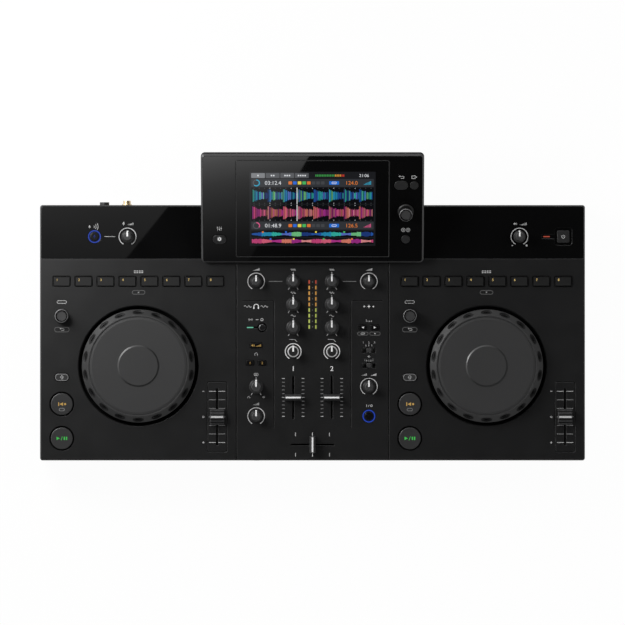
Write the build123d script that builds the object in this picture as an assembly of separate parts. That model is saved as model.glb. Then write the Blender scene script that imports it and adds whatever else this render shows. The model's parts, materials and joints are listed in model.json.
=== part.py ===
from build123d import *
import math
import os
from collections import namedtuple

# Two-deck music player with a mixer and a tilted touch screen, taken apart into its pieces.
# Millimetres. X runs to the right, Y to the rear and Z up. The origin lies on the floor under
# the middle of the whole object. Places on the top plate count from the middle and the front face.

# Case
CASE_W = 638.0
CASE_D = 299.0
CASE_H = 55.0
CASE_CORNER_R = 3.0
CASE_BEVEL = 1.2
WALL = 2.5
PLATE = 3.5
TRAY_H = 10.0
LIP_H = 3.0
LIP_T = 1.5
FOOT_R = 9.0
FOOT_H = 5.0
FOOT_INSET = 28.0

# Fits
CLEAR = 0.4
SEAT_GAP = 0.3
RUNNING_FIT = 0.1
TRIM_GAP = 0.1
OVERRUN = 1.0

# Screws, the tray's bosses and the top case's columns
SCREW_R = 1.5
SCREW_L = 14.0
SCREW_HEAD_R = 2.9
SCREW_HEAD_H = 2.0
SCREW_SINK = 3.0
SOCKET_R = 1.3
SOCKET_D = 1.2
BOSS_R = 5.0
BOSS_H = 3.5
COLUMN_R = 4.0
COLUMN_INSET = 9.0
INNER_COLUMN_X = 96.0
INNER_COLUMN_FRONT = 10.0
INNER_COLUMN_REAR_SHARE = 0.7525
INNER_COLUMN_REAR = CASE_D * INNER_COLUMN_REAR_SHARE

# Glossy strip along the rear of the top
GLOSS_FRONT_SHARE = 0.79
GLOSS_FRONT = CASE_D * GLOSS_FRONT_SHARE
GLOSS_T = 1.5
GLOSS_MARGIN = 1.6
GLOSS_CORNER_R = 2.0

# Grooves in the top plate
SEAM_X = 89.2
SEAM_W = 0.9
SEAM_DEPTH = 0.8
GROUP_X = 45.0
GROUP_REACH = 37.0
GROUP_LOW_SHARE = 0.1294
GROUP_HIGH_SHARE = 0.6264
GROUP_LOW = CASE_D * GROUP_LOW_SHARE
GROUP_HIGH = CASE_D * GROUP_HIGH_SHARE
GROUP_CORNER_R = 2.5
GROUP_LINE_W = 0.7
GROUP_LINE_DEPTH = 0.5

# Rotary controls under the plate
POT_W = 12.0
POT_H = 7.0
SHAFT_R = 3.0
SHAFT_REACH = 4.0
KNOB_GAP = 0.6
KNOB_EDGE = 0.7
SKIRT_H = 1.6
SKIRT_SLOPE = 1.6

# Tone knobs, small knobs, filter knobs and turn-and-press selectors
TONE_SKIRT_R = 8.2
TONE_WAIST_R = 6.7
TONE_TOP_R = 5.6
TONE_H = 14.0
SMALL_SKIRT_R = 7.0
SMALL_WAIST_R = 5.7
SMALL_TOP_R = 4.8
SMALL_H = 12.5
FILTER_SKIRT_R = 6.8
FILTER_WAIST_R = 5.6
FILTER_TOP_R = 5.0
FILTER_H = 13.0
SELECTOR_SKIRT_R = 8.3
SELECTOR_WAIST_R = 8.0
SELECTOR_TOP_R = 7.7
SELECTOR_H = 14.5
SELECTOR_DISH_R = 6.6
SELECTOR_DISH_D = 1.3
BROWSE_SKIRT_R = 9.3
BROWSE_WAIST_R = 8.2
BROWSE_TOP_R = 7.6

# Press buttons and the switches under them
BUTTON_TRAVEL = 0.8
FLANGE_W = 1.2
FLANGE_T = 1.2
SWITCH_W = 6.0
SWITCH_BODY_H = 3.4
PLUNGER_R = 1.7
PLUNGER_GAP = 0.2

# Slide controls
LEVER_T = 1.2
LEVER_REACH = 4.0
SLOT_W = 2.2
SLOT_END = 0.6
FADER_GAP = 1.0
TRACK_W = 10.0
TRACK_END = 4.0
TRACK_FLOOR_GAP = 0.6

# Decks
DECK_X = 203.7
JOG_SHARE = 0.3702
JOG_Y = CASE_D * JOG_SHARE
JOG_R = 66.2
JOG_SKIRT_H = 4.5
JOG_LIP_R = 59.6
JOG_LIP_W = 2.0
JOG_LIP_H = 11.0
JOG_LIP_ROUND = 0.5
JOG_WALL = 3.4
JOG_WEB_T = 2.5
JOG_PLATE_T = 2.0
JOG_DISC_R = 24.5
JOG_DISC_H = 1.0
JOG_DISC_BEVEL = 1.8
JOG_DISH_W = 3.2
JOG_DISH_D = 0.6
JOG_HUB_R = 10.0
SPINDLE_R = 6.0
BUSH_R = 9.0
BUSH_FLANGE_R = 14.0
BUSH_FLANGE_T = 2.0
BUSH_L = 8.0
SCOOP_COUNT = 18
SCOOP_BEND_R = 20.5
SCOOP_R = 4.3
SCOOP_DEPTH = 1.4
WELL_GAP = 3.6
WELL_DEPTH = 9.0
WELL_BEVEL = 1.2
WELL_FLOOR_GAP = 1.5
PAD_SHARE = 0.7013
PAD_Y = CASE_D * PAD_SHARE
PAD_COUNT = 8
PAD_PITCH = 25.7
PAD_W = 20.0
PAD_D = 11.8
PAD_CORNER_R = 1.2
PAD_PROUD = 1.3
PAD_EDGE = 0.5
CUE_R = 12.8
CUE_PROUD = 1.8
CUE_EDGE = 0.7
CUE_DISH_R = 14.6
CUE_DISH_D = 1.3
BUTTON_GAP = 5.4
SELECTOR_SHARE = 0.5659
SELECTOR_Y = CASE_D * SELECTOR_SHARE
SHIFT_SHARE = 0.3254
SHIFT_Y = CASE_D * SHIFT_SHARE
SHIFT_W = 16.4
SHIFT_D = 9.1
SHIFT_PROUD = 1.2
CUE_SHARE = 0.2207
CUE_Y = CASE_D * CUE_SHARE
PLAY_SHARE = 0.0866
PLAY_Y = CASE_D * PLAY_SHARE
TEMPO_SHARE = 0.1706
TEMPO_Y = CASE_D * TEMPO_SHARE
TEMPO_GAP = 10.3
TEMPO_TRAVEL = 60.0
TEMPO_LEVER_L = 6.0
TEMPO_PLATE_W = 23.8
TEMPO_PLATE_L = 83.0
TEMPO_PLATE_R = 2.9
TEMPO_CAP_W = 16.8
TEMPO_CAP_L = 17.9
TEMPO_CAP_H = 10.0
TEMPO_CAP_BASE = 2.6
TEMPO_RIDGE_W = 15.0
TEMPO_RIDGE_L = 4.2
TEMPO_STEPS = 4

# Mixer
SIDE_X = 66.0
CHANNEL_X = 22.6
TONE_SHARE = 0.7013
TONE_Y = CASE_D * TONE_SHARE
TONE_PITCH_SHARE = 0.0903
TONE_PITCH = CASE_D * TONE_PITCH_SHARE
FILTER_SHARE = 0.4264
FILTER_Y = CASE_D * FILTER_SHARE
CHANNEL_FADER_SHARE = 0.2468
CHANNEL_FADER_Y = CASE_D * CHANNEL_FADER_SHARE
CHANNEL_TRAVEL = 45.0
CROSSFADER_SHARE = 0.0622
CROSSFADER_Y = CASE_D * CROSSFADER_SHARE
CROSSFADER_TRAVEL = 45.0
FADER_LEVER_L = 4.0
FADER_CAP_W = 19.8
FADER_CAP_L = 7.0
FADER_CAP_H = 11.0
FADER_CAP_BASE = 2.4
FADER_RIDGE_W = 18.4
FADER_RIDGE_L = 3.2
METER_X = 3.9
METER_ROWS = 9
METER_PITCH = 6.57
METER_W = 2.3
METER_L = 5.2

# Headphone and effect groups
KEY_SPREAD = 7.1
KEY_W = 9.4
KEY_D = 5.8
KEY_CORNER_R = 0.8
KEY_PROUD = 1.0
KEY_EDGE = 0.4
MASTER_KEY_SHARE = 0.4505
MASTER_KEY_Y = CASE_D * MASTER_KEY_SHARE
MASTER_KEY_W = 13.8
CUE_KEY_SHARE = 0.3819
CUE_KEY_Y = CASE_D * CUE_KEY_SHARE
PAIRING_R = 4.25
PAIRING_PROUD = 1.6
PAIRING_ROUND = 1.5
PAIRING_DISH_R = 5.6
PAIRING_DISH_D = 1.2
LAMP_BAR_W = 7.4
LAMP_BAR_D = 2.0
LAMP_GROOVE_D = 1.0
UPPER_KNOB_SHARE = 0.289
UPPER_KNOB_Y = CASE_D * UPPER_KNOB_SHARE
LOWER_KNOB_SHARE = 0.1736
LOWER_KNOB_Y = CASE_D * LOWER_KNOB_SHARE
RING_BUTTON_R = 5.0
RING_BUTTON_PROUD = 0.9
RING_INNER_R = 5.5
RING_OUTER_R = 7.6
RING_PROUD = 0.4
EFFECT_SELECT_SHARE = 0.4318
EFFECT_SELECT_Y = CASE_D * EFFECT_SELECT_SHARE
EFFECT_CHANNEL_SHARE = 0.3726
EFFECT_CHANNEL_Y = CASE_D * EFFECT_CHANNEL_SHARE
SLIDER_THROW = 4.0
SLIDER_W = 5.4
SLIDER_D = 4.8
SLIDER_PROUD = 2.0
SLIDER_REACH = 1.8
SLIDER_EDGE = 0.5
SLIDER_WINDOW_W = 15.7
SLIDER_WINDOW_D = 6.4
SLIDER_BODY_W = 19.0
SLIDER_BODY_D = 9.0

# Microphone, master and power controls on the glossy strip
STRIP_ROW_SHARE = 0.8766
STRIP_ROW_Y = CASE_D * STRIP_ROW_SHARE
MIC_BUTTON_X = 255.3
MIC_KNOB_X = 216.6
MASTER_X = 242.3
POWER_X = 293.6
POWER_W = 14.0
POWER_CORNER_R = 1.6
POWER_PROUD = 0.8
POWER_DISH_W = 20.4
POWER_DISH_R = 3.5
POWER_DISH_D = 0.9
POWER_LAMP_REACH = 19.5
POWER_GROOVE_W = 5.0

# Screen pod
POD_TILT_DEG = 20.0
POD_SETBACK_SHARE = 0.7729
POD_SETBACK = CASE_D * POD_SETBACK_SHARE
POD_LIFT = 0.8
POD_EDGE = 8.0
POD_CORNER_R = 5.0
POD_BEVEL = 2.0
POD_INSET = 1.0
POD_BACK = 10.0
POD_BACK_SLOPE = 9.0
POD_REAR_MARGIN = 8.0
GLASS_W = 178.8
GLASS_L = 119.0
GLASS_T = 2.0
GLASS_CORNER_R = 1.5
POD_SIDE_W = 40.6
POD_BORDER_W = 7.5
POD_W = GLASS_W + 2 * POD_SIDE_W
POD_FACE = GLASS_L + 2 * POD_BORDER_W
LCD_SIDE_W = 9.4
LCD_BORDER_W = 9.0
LCD_W = GLASS_W - 2 * LCD_SIDE_W
LCD_L = GLASS_L - 2 * LCD_BORDER_W
LCD_T = 5.0
POD_KEY_GAP = 19.3
POD_BACK_KEY_GAP = 13.9
POD_TAG_KEY_GAP = 29.0
POD_KEY_X = GLASS_W / 2 + POD_KEY_GAP
POD_BACK_KEY_X = GLASS_W / 2 + POD_BACK_KEY_GAP
POD_TAG_KEY_X = GLASS_W / 2 + POD_TAG_KEY_GAP
POD_LOW_ROW_SHARE = -0.2799
POD_BROWSE_ROW_SHARE = -0.0224
POD_TOP_ROW_SHARE = 0.2172
POD_LOW_ROW = POD_FACE * POD_LOW_ROW_SHARE
POD_BROWSE_ROW = POD_FACE * POD_BROWSE_ROW_SHARE
POD_TOP_ROW = POD_FACE * POD_TOP_ROW_SHARE
POD_PILL_W = 15.6
POD_PILL_D = 10.4
POD_ROUND_R = 4.8
POD_KEY_PROUD = 0.9
POD_KEY_EDGE = 0.4
POD_BOARD_MARGIN = 8.0
POD_BOARD_LOW = 20.0
POD_BOARD_HIGH = 13.0

# Boards
BOARD_T = 1.6
BOARD_CLEAR = 1.0
DECK_BOARD_MARGIN = 3.9
DECK_BOARD_IN = INNER_COLUMN_X + BOSS_R
DECK_BOARD_FRONT = 15.0
DECK_BOARD_REAR_GAP = 16.0
DECK_BOARD_REAR = CASE_D - DECK_BOARD_REAR_GAP
MIXER_BOARD_LAP = 0.8
MIXER_BOARD_X = SEAM_X + MIXER_BOARD_LAP
MIXER_BOARD_FRONT = 10.0
MIXER_BOARD_REAR_SHARE = 0.7425
MIXER_BOARD_REAR = CASE_D * MIXER_BOARD_REAR_SHARE
MAIN_BOARD_W = 420.0
MAIN_BOARD_FRONT_SHARE = 0.5017
MAIN_BOARD_FRONT = CASE_D * MAIN_BOARD_FRONT_SHARE
MAIN_BOARD_X = -60.0
STANDOFF_R = 3.5
STANDOFF_H = 5.0
STANDOFF_INSET = 12.0

# Sockets
MIC_SOCKET_X = -244.4
MIC_SOCKET_Z = 32.0
MIC_SOCKET_R = 5.5
MIC_SOCKET_PROUD = 3.7
MIC_BORE_R = 3.3
MIC_BORE_L = 22.0
MIC_BODY_W = 16.0
MIC_BODY_L = 26.0
MIC_BODY_H = 14.0
RCA_INPUT_X = -217.9
RCA_OUTPUT_X = -60.0
RCA_LOW_Z = 25.0
RCA_PITCH = 15.0
RCA_R = 4.15
RCA_BORE_R = 1.7
RCA_BORE_L = 8.0
RCA_PROUD = 5.4
RCA_COLLAR_R = 5.6
RCA_COLLAR_T = 1.2
RCA_BODY_W = 11.0
RCA_BODY_L = 12.0
USB_X = 10.0
USB_PITCH = 24.0
USB_Z = 24.0
USB_W = 13.2
USB_H = 5.8
USB_L = 14.0
USB_WALL = 0.4
USB_TONGUE_T = 1.9
USB_TONGUE_INSET = 0.7
USB_PROUD = 0.4
USB_BACK_T = 1.0
DC_X = 75.0
DC_Z = 24.0
DC_R = 4.2
DC_BORE_R = 3.1
DC_BORE_L = 9.0
DC_PIN_R = 1.0
DC_PROUD = 0.6
DC_BODY_W = 10.0
DC_BODY_L = 14.0
PHONES_Z = 32.0
PHONES_R = 3.2
PHONES_BORE_R = 1.8
PHONES_BORE_L = 13.0
PHONES_PROUD = 0.7
PHONES_BODY_W = 9.0
PHONES_BODY_L = 14.0

# Levels and places that follow from the sizes above
TILT = math.radians(POD_TILT_DEG)
TOTAL_D = PHONES_PROUD + POD_SETBACK + POD_FACE * math.cos(TILT) + POD_EDGE * math.sin(TILT)
FRONT_Y = PHONES_PROUD - TOTAL_D / 2
REAR_Y = FRONT_Y + CASE_D
BASE_Z = FOOT_H
FLOOR_Z = BASE_Z + WALL
PARTING_Z = BASE_Z + TRAY_H
TOP_Z = BASE_Z + CASE_H
UNDER_PLATE_Z = TOP_Z - PLATE
CONTROL_BOARD_Z = UNDER_PLATE_Z - POT_H
MAIN_BOARD_Z = FLOOR_Z + STANDOFF_H + BOARD_T
WELL_R = JOG_R + WELL_GAP
BUTTON_COLUMN = WELL_R + BUTTON_GAP + CUE_DISH_R
DECK_BOARD_OUT = DECK_X + BUTTON_COLUMN + CUE_DISH_R + DECK_BOARD_MARGIN
TEMPO_COLUMN = WELL_R + TEMPO_GAP + TEMPO_PLATE_W / 2
FLANGE_TOP = -PLATE - SEAT_GAP
FLANGE_LOW = FLANGE_TOP - FLANGE_T
BOARD_LEVEL = -PLATE - POT_H
POD_NORMAL = (0, -math.sin(TILT), math.cos(TILT))
POD_LOW_Z = TOP_Z + POD_LIFT + POD_EDGE * math.cos(TILT)
POD_ORIGIN = (
    0,
    FRONT_Y + POD_SETBACK + POD_FACE / 2 * math.cos(TILT),
    POD_LOW_Z + POD_FACE / 2 * math.sin(TILT),
)
POD_PLANE = Plane(origin=POD_ORIGIN, x_dir=(1, 0, 0), z_dir=POD_NORMAL)
DECKS = {"left": -DECK_X, "right": DECK_X}

# A control in its panel's own frame, where the panel's face is at height 0: the piece that
# moves, the opening that it needs in the panel, and the fixed piece under the panel.
Control = namedtuple("Control", "moving opening fixed")
Placed = namedtuple("Placed", "name place control")


def front(distance):
    """The Y of a place that lies this far behind the front face."""
    return FRONT_Y + distance


def on_top(x, distance):
    """A place on the top plate."""
    return Location((x, front(distance), TOP_Z))


def on_pod(x, y):
    """A place on the tilted face of the screen pod, from the middle of that face."""
    return POD_PLANE.location * Location((x, y, 0))


def between(outline, low, high):
    """A prism of a flat outline between two heights."""
    return Pos(0, 0, low) * extrude(outline, amount=high - low)


def turned(points):
    """A solid turned about Z from an outline of radius and height pairs."""
    outline = Polyline(*[(radius, 0, height) for radius, height in points], close=True)
    return revolve(make_face(outline), axis=Axis.Z)


def round_outline(radius):
    return lambda grow: Circle(radius + grow)


def box_outline(width, depth, corner_r):
    return lambda grow: RectangleRounded(width + 2 * grow, depth + 2 * grow, corner_r + grow)


def pill_outline(width, depth):
    return lambda grow: SlotOverall(width + 2 * grow, depth + 2 * grow)


def top_edges(shape):
    return shape.edges().group_by(Axis.Z)[-1]


def block(x, y, width, depth, low, high):
    """An upright block round a place in the plan, between two levels."""
    return Pos(x, y, 0) * between(Rectangle(width, depth), low, high)


def rear_wall(x, z):
    """A place on the inner face of the rear wall, looking out to the rear."""
    return Plane(origin=(x, REAR_Y - WALL, z), x_dir=(-1, 0, 0), z_dir=(0, 1, 0)).location


def front_wall(x, z):
    """A place on the inner face of the front wall, looking out to the front."""
    return Plane(origin=(x, FRONT_Y + WALL, z), x_dir=(1, 0, 0), z_dir=(0, -1, 0)).location


def group(shapes):
    """Separate solids that share one node."""
    return Compound(children=[solid for shape in shapes for solid in shape.solids()])


def knob(skirt_r, waist_r, top_r, height, dish_r=0, dish_d=0):
    """A skirted knob on its shaft, which turns in the pot that is soldered to the board."""
    skirt_top = KNOB_GAP + SKIRT_H
    crown = [(0, height)]
    if dish_r:
        crown = [(dish_r, height), (dish_r - dish_d, height - dish_d), (0, height - dish_d)]
    moving = turned(
        [
            (0, -PLATE - SHAFT_REACH),
            (SHAFT_R, -PLATE - SHAFT_REACH),
            (SHAFT_R, KNOB_GAP),
            (skirt_r, KNOB_GAP),
            (skirt_r, skirt_top),
            (waist_r, skirt_top + SKIRT_SLOPE),
            (top_r, height - KNOB_EDGE),
            (top_r - KNOB_EDGE, height),
            *crown,
        ]
    )
    opening = between(Circle(SHAFT_R + CLEAR), -PLATE - OVERRUN, OVERRUN)
    bore = between(Circle(SHAFT_R + RUNNING_FIT), -PLATE - SHAFT_REACH - SEAT_GAP, OVERRUN)
    fixed = between(Rectangle(POT_W, POT_W), BOARD_LEVEL, -PLATE) - bore
    return Control(moving, opening, fixed)


def tone_knob():
    return knob(TONE_SKIRT_R, TONE_WAIST_R, TONE_TOP_R, TONE_H)


def small_knob():
    return knob(SMALL_SKIRT_R, SMALL_WAIST_R, SMALL_TOP_R, SMALL_H)


def filter_knob():
    return knob(FILTER_SKIRT_R, FILTER_WAIST_R, FILTER_TOP_R, FILTER_H)


def selector(skirt_r, waist_r, top_r):
    """A selector with a dished top."""
    return knob(skirt_r, waist_r, top_r, SELECTOR_H, SELECTOR_DISH_R, SELECTOR_DISH_D)


def loop_knob():
    return selector(SELECTOR_SKIRT_R, SELECTOR_WAIST_R, SELECTOR_TOP_R)


def browse_knob():
    return selector(BROWSE_SKIRT_R, BROWSE_WAIST_R, BROWSE_TOP_R)


def button(outline, proud, edge, dish=None):
    """A cap that is held under the panel by its flange, over a switch on the board."""
    cap = between(outline(0), FLANGE_TOP, proud)
    cap = fillet(top_edges(cap), edge)
    moving = cap + between(outline(FLANGE_W), FLANGE_LOW, FLANGE_TOP)
    opening = between(outline(CLEAR), -PLATE - OVERRUN, OVERRUN)
    if dish:
        opening = opening + dish
    plunger_top = FLANGE_LOW - BUTTON_TRAVEL - PLUNGER_GAP
    body_top = BOARD_LEVEL + SWITCH_BODY_H
    fixed = between(Rectangle(SWITCH_W, SWITCH_W), BOARD_LEVEL, body_top)
    fixed = fixed + between(Circle(PLUNGER_R), body_top, plunger_top)
    return Control(moving, opening, fixed)


def sloped_dish(rim_r, floor_r, depth):
    """A round dish with sloping sides, cut into the panel's face."""
    return turned([(0, 0), (rim_r, 0), (floor_r, -depth), (0, -depth)])


def deck_button():
    dish = sloped_dish(CUE_DISH_R, CUE_R + CLEAR, CUE_DISH_D)
    return button(round_outline(CUE_R), CUE_PROUD, CUE_EDGE, dish)


def shift_button():
    return button(pill_outline(SHIFT_W, SHIFT_D), SHIFT_PROUD, KEY_EDGE)


def pad():
    return button(box_outline(PAD_W, PAD_D, PAD_CORNER_R), PAD_PROUD, PAD_EDGE)


def key(width):
    return button(box_outline(width, KEY_D, KEY_CORNER_R), KEY_PROUD, KEY_EDGE)


def pairing_button():
    dish = sloped_dish(PAIRING_DISH_R, PAIRING_R + CLEAR, PAIRING_DISH_D)
    return button(round_outline(PAIRING_R), PAIRING_PROUD, PAIRING_ROUND, dish)


def ring_button():
    """A small round button inside a glowing ring that is let into the panel."""
    plain = button(round_outline(RING_BUTTON_R), RING_BUTTON_PROUD, KEY_EDGE)
    opening = between(Circle(RING_OUTER_R + TRIM_GAP), -PLATE - OVERRUN, OVERRUN)
    return Control(plain.moving, opening, plain.fixed)


def power_button():
    outline = box_outline(POWER_W, POWER_W, POWER_CORNER_R)
    dish = between(RectangleRounded(POWER_DISH_W, POWER_DISH_W, POWER_DISH_R), -POWER_DISH_D, OVERRUN)
    reach = POWER_LAMP_REACH + LAMP_BAR_W / 2 + LAMP_BAR_D
    groove = between(
        RectangleRounded(2 * reach, POWER_GROOVE_W, LAMP_BAR_D / 2), -POWER_DISH_D, OVERRUN
    )
    left_half = Pos(-reach / 2, 0, 0) * Box(reach, POWER_DISH_W, POWER_DISH_W)
    return button(outline, POWER_PROUD, KEY_EDGE, dish + (groove & left_half))


def pod_pill():
    return button(pill_outline(POD_PILL_W, POD_PILL_D), POD_KEY_PROUD, POD_KEY_EDGE)


def pod_round():
    return button(round_outline(POD_ROUND_R), POD_KEY_PROUD, POD_KEY_EDGE)


def stepped_cap(base_w, base_l, base_h, ridge_w, ridge_l, height, steps):
    """A slider cap that climbs in steps from its base to a ridge across the middle."""
    low = FADER_GAP
    cap = between(RectangleRounded(base_w, base_l, KEY_CORNER_R), low, low + base_h)
    rise = (height - low - base_h) / steps
    for step in range(1, steps + 1):
        share = step / steps
        width = base_w + (ridge_w - base_w) * share
        length = base_l + (ridge_l - base_l) * share
        level = low + base_h + rise * (step - 1)
        cap = cap + between(Rectangle(width, length), level, level + rise)
    return cap


def tapered_cap(base_w, base_l, base_h, ridge_w, ridge_l, height):
    """A slider cap with a straight base and sides that lean in to a ridge."""
    low = FADER_GAP + base_h
    base = between(Rectangle(base_w, base_l), FADER_GAP, low)
    foot = Pos(0, 0, low) * Rectangle(base_w, base_l)
    ridge = Pos(0, 0, height) * Rectangle(ridge_w, ridge_l)
    return base + loft([foot, ridge])


def fader(cap, travel, lever_l):
    """A slider that runs along Y: its cap on a lever, the slot in the panel and the track under it."""
    slot_l = travel + lever_l + 2 * SLOT_END
    lever = between(Rectangle(LEVER_T, lever_l), -PLATE - LEVER_REACH, FADER_GAP)
    opening = between(RectangleRounded(SLOT_W, slot_l, CLEAR), -PLATE - OVERRUN, OVERRUN)
    track = between(Rectangle(TRACK_W, slot_l + 2 * TRACK_END), BOARD_LEVEL, -PLATE)
    groove_low = -PLATE - LEVER_REACH - TRACK_FLOOR_GAP
    groove = between(Rectangle(LEVER_T + 2 * CLEAR, slot_l), groove_low, OVERRUN)
    return Control(cap + lever, opening, track - groove)


def tempo_fader():
    base = (TEMPO_CAP_W, TEMPO_CAP_L, TEMPO_CAP_BASE)
    ridge = (TEMPO_RIDGE_W, TEMPO_RIDGE_L, TEMPO_CAP_H)
    return fader(stepped_cap(*base, *ridge, TEMPO_STEPS), TEMPO_TRAVEL, TEMPO_LEVER_L)


def channel_fader(travel):
    base = (FADER_CAP_W, FADER_CAP_L, FADER_CAP_BASE)
    ridge = (FADER_RIDGE_W, FADER_RIDGE_L, FADER_CAP_H)
    return fader(tapered_cap(*base, *ridge), travel, FADER_LEVER_L)


def slide_switch():
    """A small three-position slider over its switch body, running along X."""
    low = -PLATE - SLIDER_REACH
    moving = between(RectangleRounded(SLIDER_W, SLIDER_D, KEY_CORNER_R), low, SLIDER_PROUD)
    moving = chamfer(top_edges(moving), SLIDER_EDGE)
    window = RectangleRounded(SLIDER_WINDOW_W, SLIDER_WINDOW_D, KEY_CORNER_R)
    opening = between(window, -PLATE - OVERRUN, OVERRUN)
    fixed = between(Rectangle(SLIDER_BODY_W, SLIDER_BODY_D), BOARD_LEVEL, low - SEAT_GAP)
    return Control(moving, opening, fixed)


def jog_profile():
    """The rim, its web, its hub and its spindle in one turned outline, above and below the plate."""
    seat = JOG_LIP_H - JOG_PLATE_T
    inner_r = JOG_R - JOG_WALL
    lip_inner_r = JOG_LIP_R - JOG_LIP_W
    low = WELL_FLOOR_GAP - WELL_DEPTH
    return [
        (0, -WELL_DEPTH - WALL - BUSH_L),
        (SPINDLE_R, -WELL_DEPTH - WALL - BUSH_L),
        (SPINDLE_R, SEAT_GAP - WELL_DEPTH),
        (JOG_HUB_R, SEAT_GAP - WELL_DEPTH),
        (JOG_HUB_R, seat - JOG_WEB_T),
        (inner_r, seat - JOG_WEB_T),
        (inner_r, low),
        (JOG_R, low),
        (JOG_R, JOG_SKIRT_H),
        (JOG_LIP_R, JOG_LIP_H - JOG_LIP_ROUND),
        (JOG_LIP_R - JOG_LIP_ROUND, JOG_LIP_H),
        (lip_inner_r, JOG_LIP_H),
        (lip_inner_r, seat),
        (0, seat),
    ]


def jog_rim():
    """The jog wheel's rim with a row of finger scoops in its sloping shoulder."""
    slope = Vector(JOG_LIP_R - JOG_R, 0, JOG_LIP_H - JOG_LIP_ROUND - JOG_SKIRT_H).normalized()
    outward = Vector(slope.Z, 0, -slope.X)
    middle = Vector((JOG_R + JOG_LIP_R) / 2, 0, (JOG_SKIRT_H + JOG_LIP_H - JOG_LIP_ROUND) / 2)
    centre = middle + outward * (SCOOP_BEND_R - SCOOP_DEPTH)
    scoop_place = Plane(origin=centre, x_dir=outward, z_dir=slope).location
    scoop = scoop_place * Torus(SCOOP_BEND_R - SCOOP_R, SCOOP_R)
    turn = 360 / SCOOP_COUNT
    scoops = [Rot(0, 0, turn * (index + 1 / 2)) * scoop for index in range(SCOOP_COUNT)]
    return turned(jog_profile()) - scoops


def jog_plate():
    """The touch plate that lies in the rim, with a shallow dish at its edge and a raised middle."""
    radius = JOG_LIP_R - JOG_LIP_W - TRIM_GAP
    disc_top = JOG_LIP_H + JOG_DISC_H
    return turned(
        [
            (0, JOG_LIP_H - JOG_PLATE_T),
            (radius, JOG_LIP_H - JOG_PLATE_T),
            (radius, JOG_LIP_H - JOG_DISH_D),
            (radius - JOG_DISH_W, JOG_LIP_H),
            (JOG_DISC_R, JOG_LIP_H),
            (JOG_DISC_R - JOG_DISC_BEVEL, disc_top),
            (0, disc_top),
        ]
    )


def jog_bush():
    """The bush in the well's floor that the spindle turns in."""
    low = -WELL_DEPTH - WALL - BUSH_L + SEAT_GAP
    flange_top = -WELL_DEPTH - WALL
    bore_r = SPINDLE_R + RUNNING_FIT
    return turned(
        [
            (bore_r, low),
            (BUSH_R, low),
            (BUSH_R, flange_top - BUSH_FLANGE_T),
            (BUSH_FLANGE_R, flange_top - BUSH_FLANGE_T),
            (BUSH_FLANGE_R, flange_top),
            (BUSH_R, flange_top),
            (BUSH_R, -WELL_DEPTH),
            (bore_r, -WELL_DEPTH),
        ]
    )


def pad_places(deck_x):
    """The pads of one deck, side by side."""
    middle = (PAD_COUNT - 1) / 2
    return [on_top(deck_x + PAD_PITCH * (index - middle), PAD_Y) for index in range(PAD_COUNT)]


def meter_places():
    """The windows of the level meter, two columns of them."""
    middle = (METER_ROWS - 1) / 2
    rows = [TONE_Y - TONE_PITCH + METER_PITCH * (row - middle) for row in range(METER_ROWS)]
    return [on_top(x, row) for x in (-METER_X, METER_X) for row in rows]


def deck_controls():
    """Every control of both decks but the jog wheels."""
    placed = []
    for side, x in DECKS.items():
        column = x - BUTTON_COLUMN
        placed.append(Placed(f"loop_knob_{side}", on_top(column, SELECTOR_Y), loop_knob()))
        placed.append(Placed(f"shift_button_{side}", on_top(column, SHIFT_Y), shift_button()))
        placed.append(Placed(f"cue_button_{side}", on_top(column, CUE_Y), deck_button()))
        placed.append(Placed(f"play_button_{side}", on_top(column, PLAY_Y), deck_button()))
        placed.append(Placed(f"tempo_slider_{side}", on_top(x + TEMPO_COLUMN, TEMPO_Y), tempo_fader()))
        placed += [Placed(f"pads_{side}", place, pad()) for place in pad_places(x)]
    return placed


def mixer_controls():
    """The two channel strips and the crossfader."""
    placed = []
    for channel, side in ((1, -1), (2, 1)):
        x = side * CHANNEL_X
        placed.append(Placed(f"trim_knob_{channel}", on_top(side * SIDE_X, TONE_Y), small_knob()))
        for row, band in enumerate(("high", "mid", "low")):
            place = on_top(x, TONE_Y - TONE_PITCH * row)
            placed.append(Placed(f"{band}_knob_{channel}", place, tone_knob()))
        placed.append(Placed(f"filter_knob_{channel}", on_top(x, FILTER_Y), filter_knob()))
        place = on_top(x, CHANNEL_FADER_Y)
        placed.append(Placed(f"channel_fader_{channel}", place, channel_fader(CHANNEL_TRAVEL)))
    place = on_top(0, CROSSFADER_Y) * Rot(0, 0, 90)
    placed.append(Placed("crossfader", place, channel_fader(CROSSFADER_TRAVEL)))
    return placed


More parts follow.
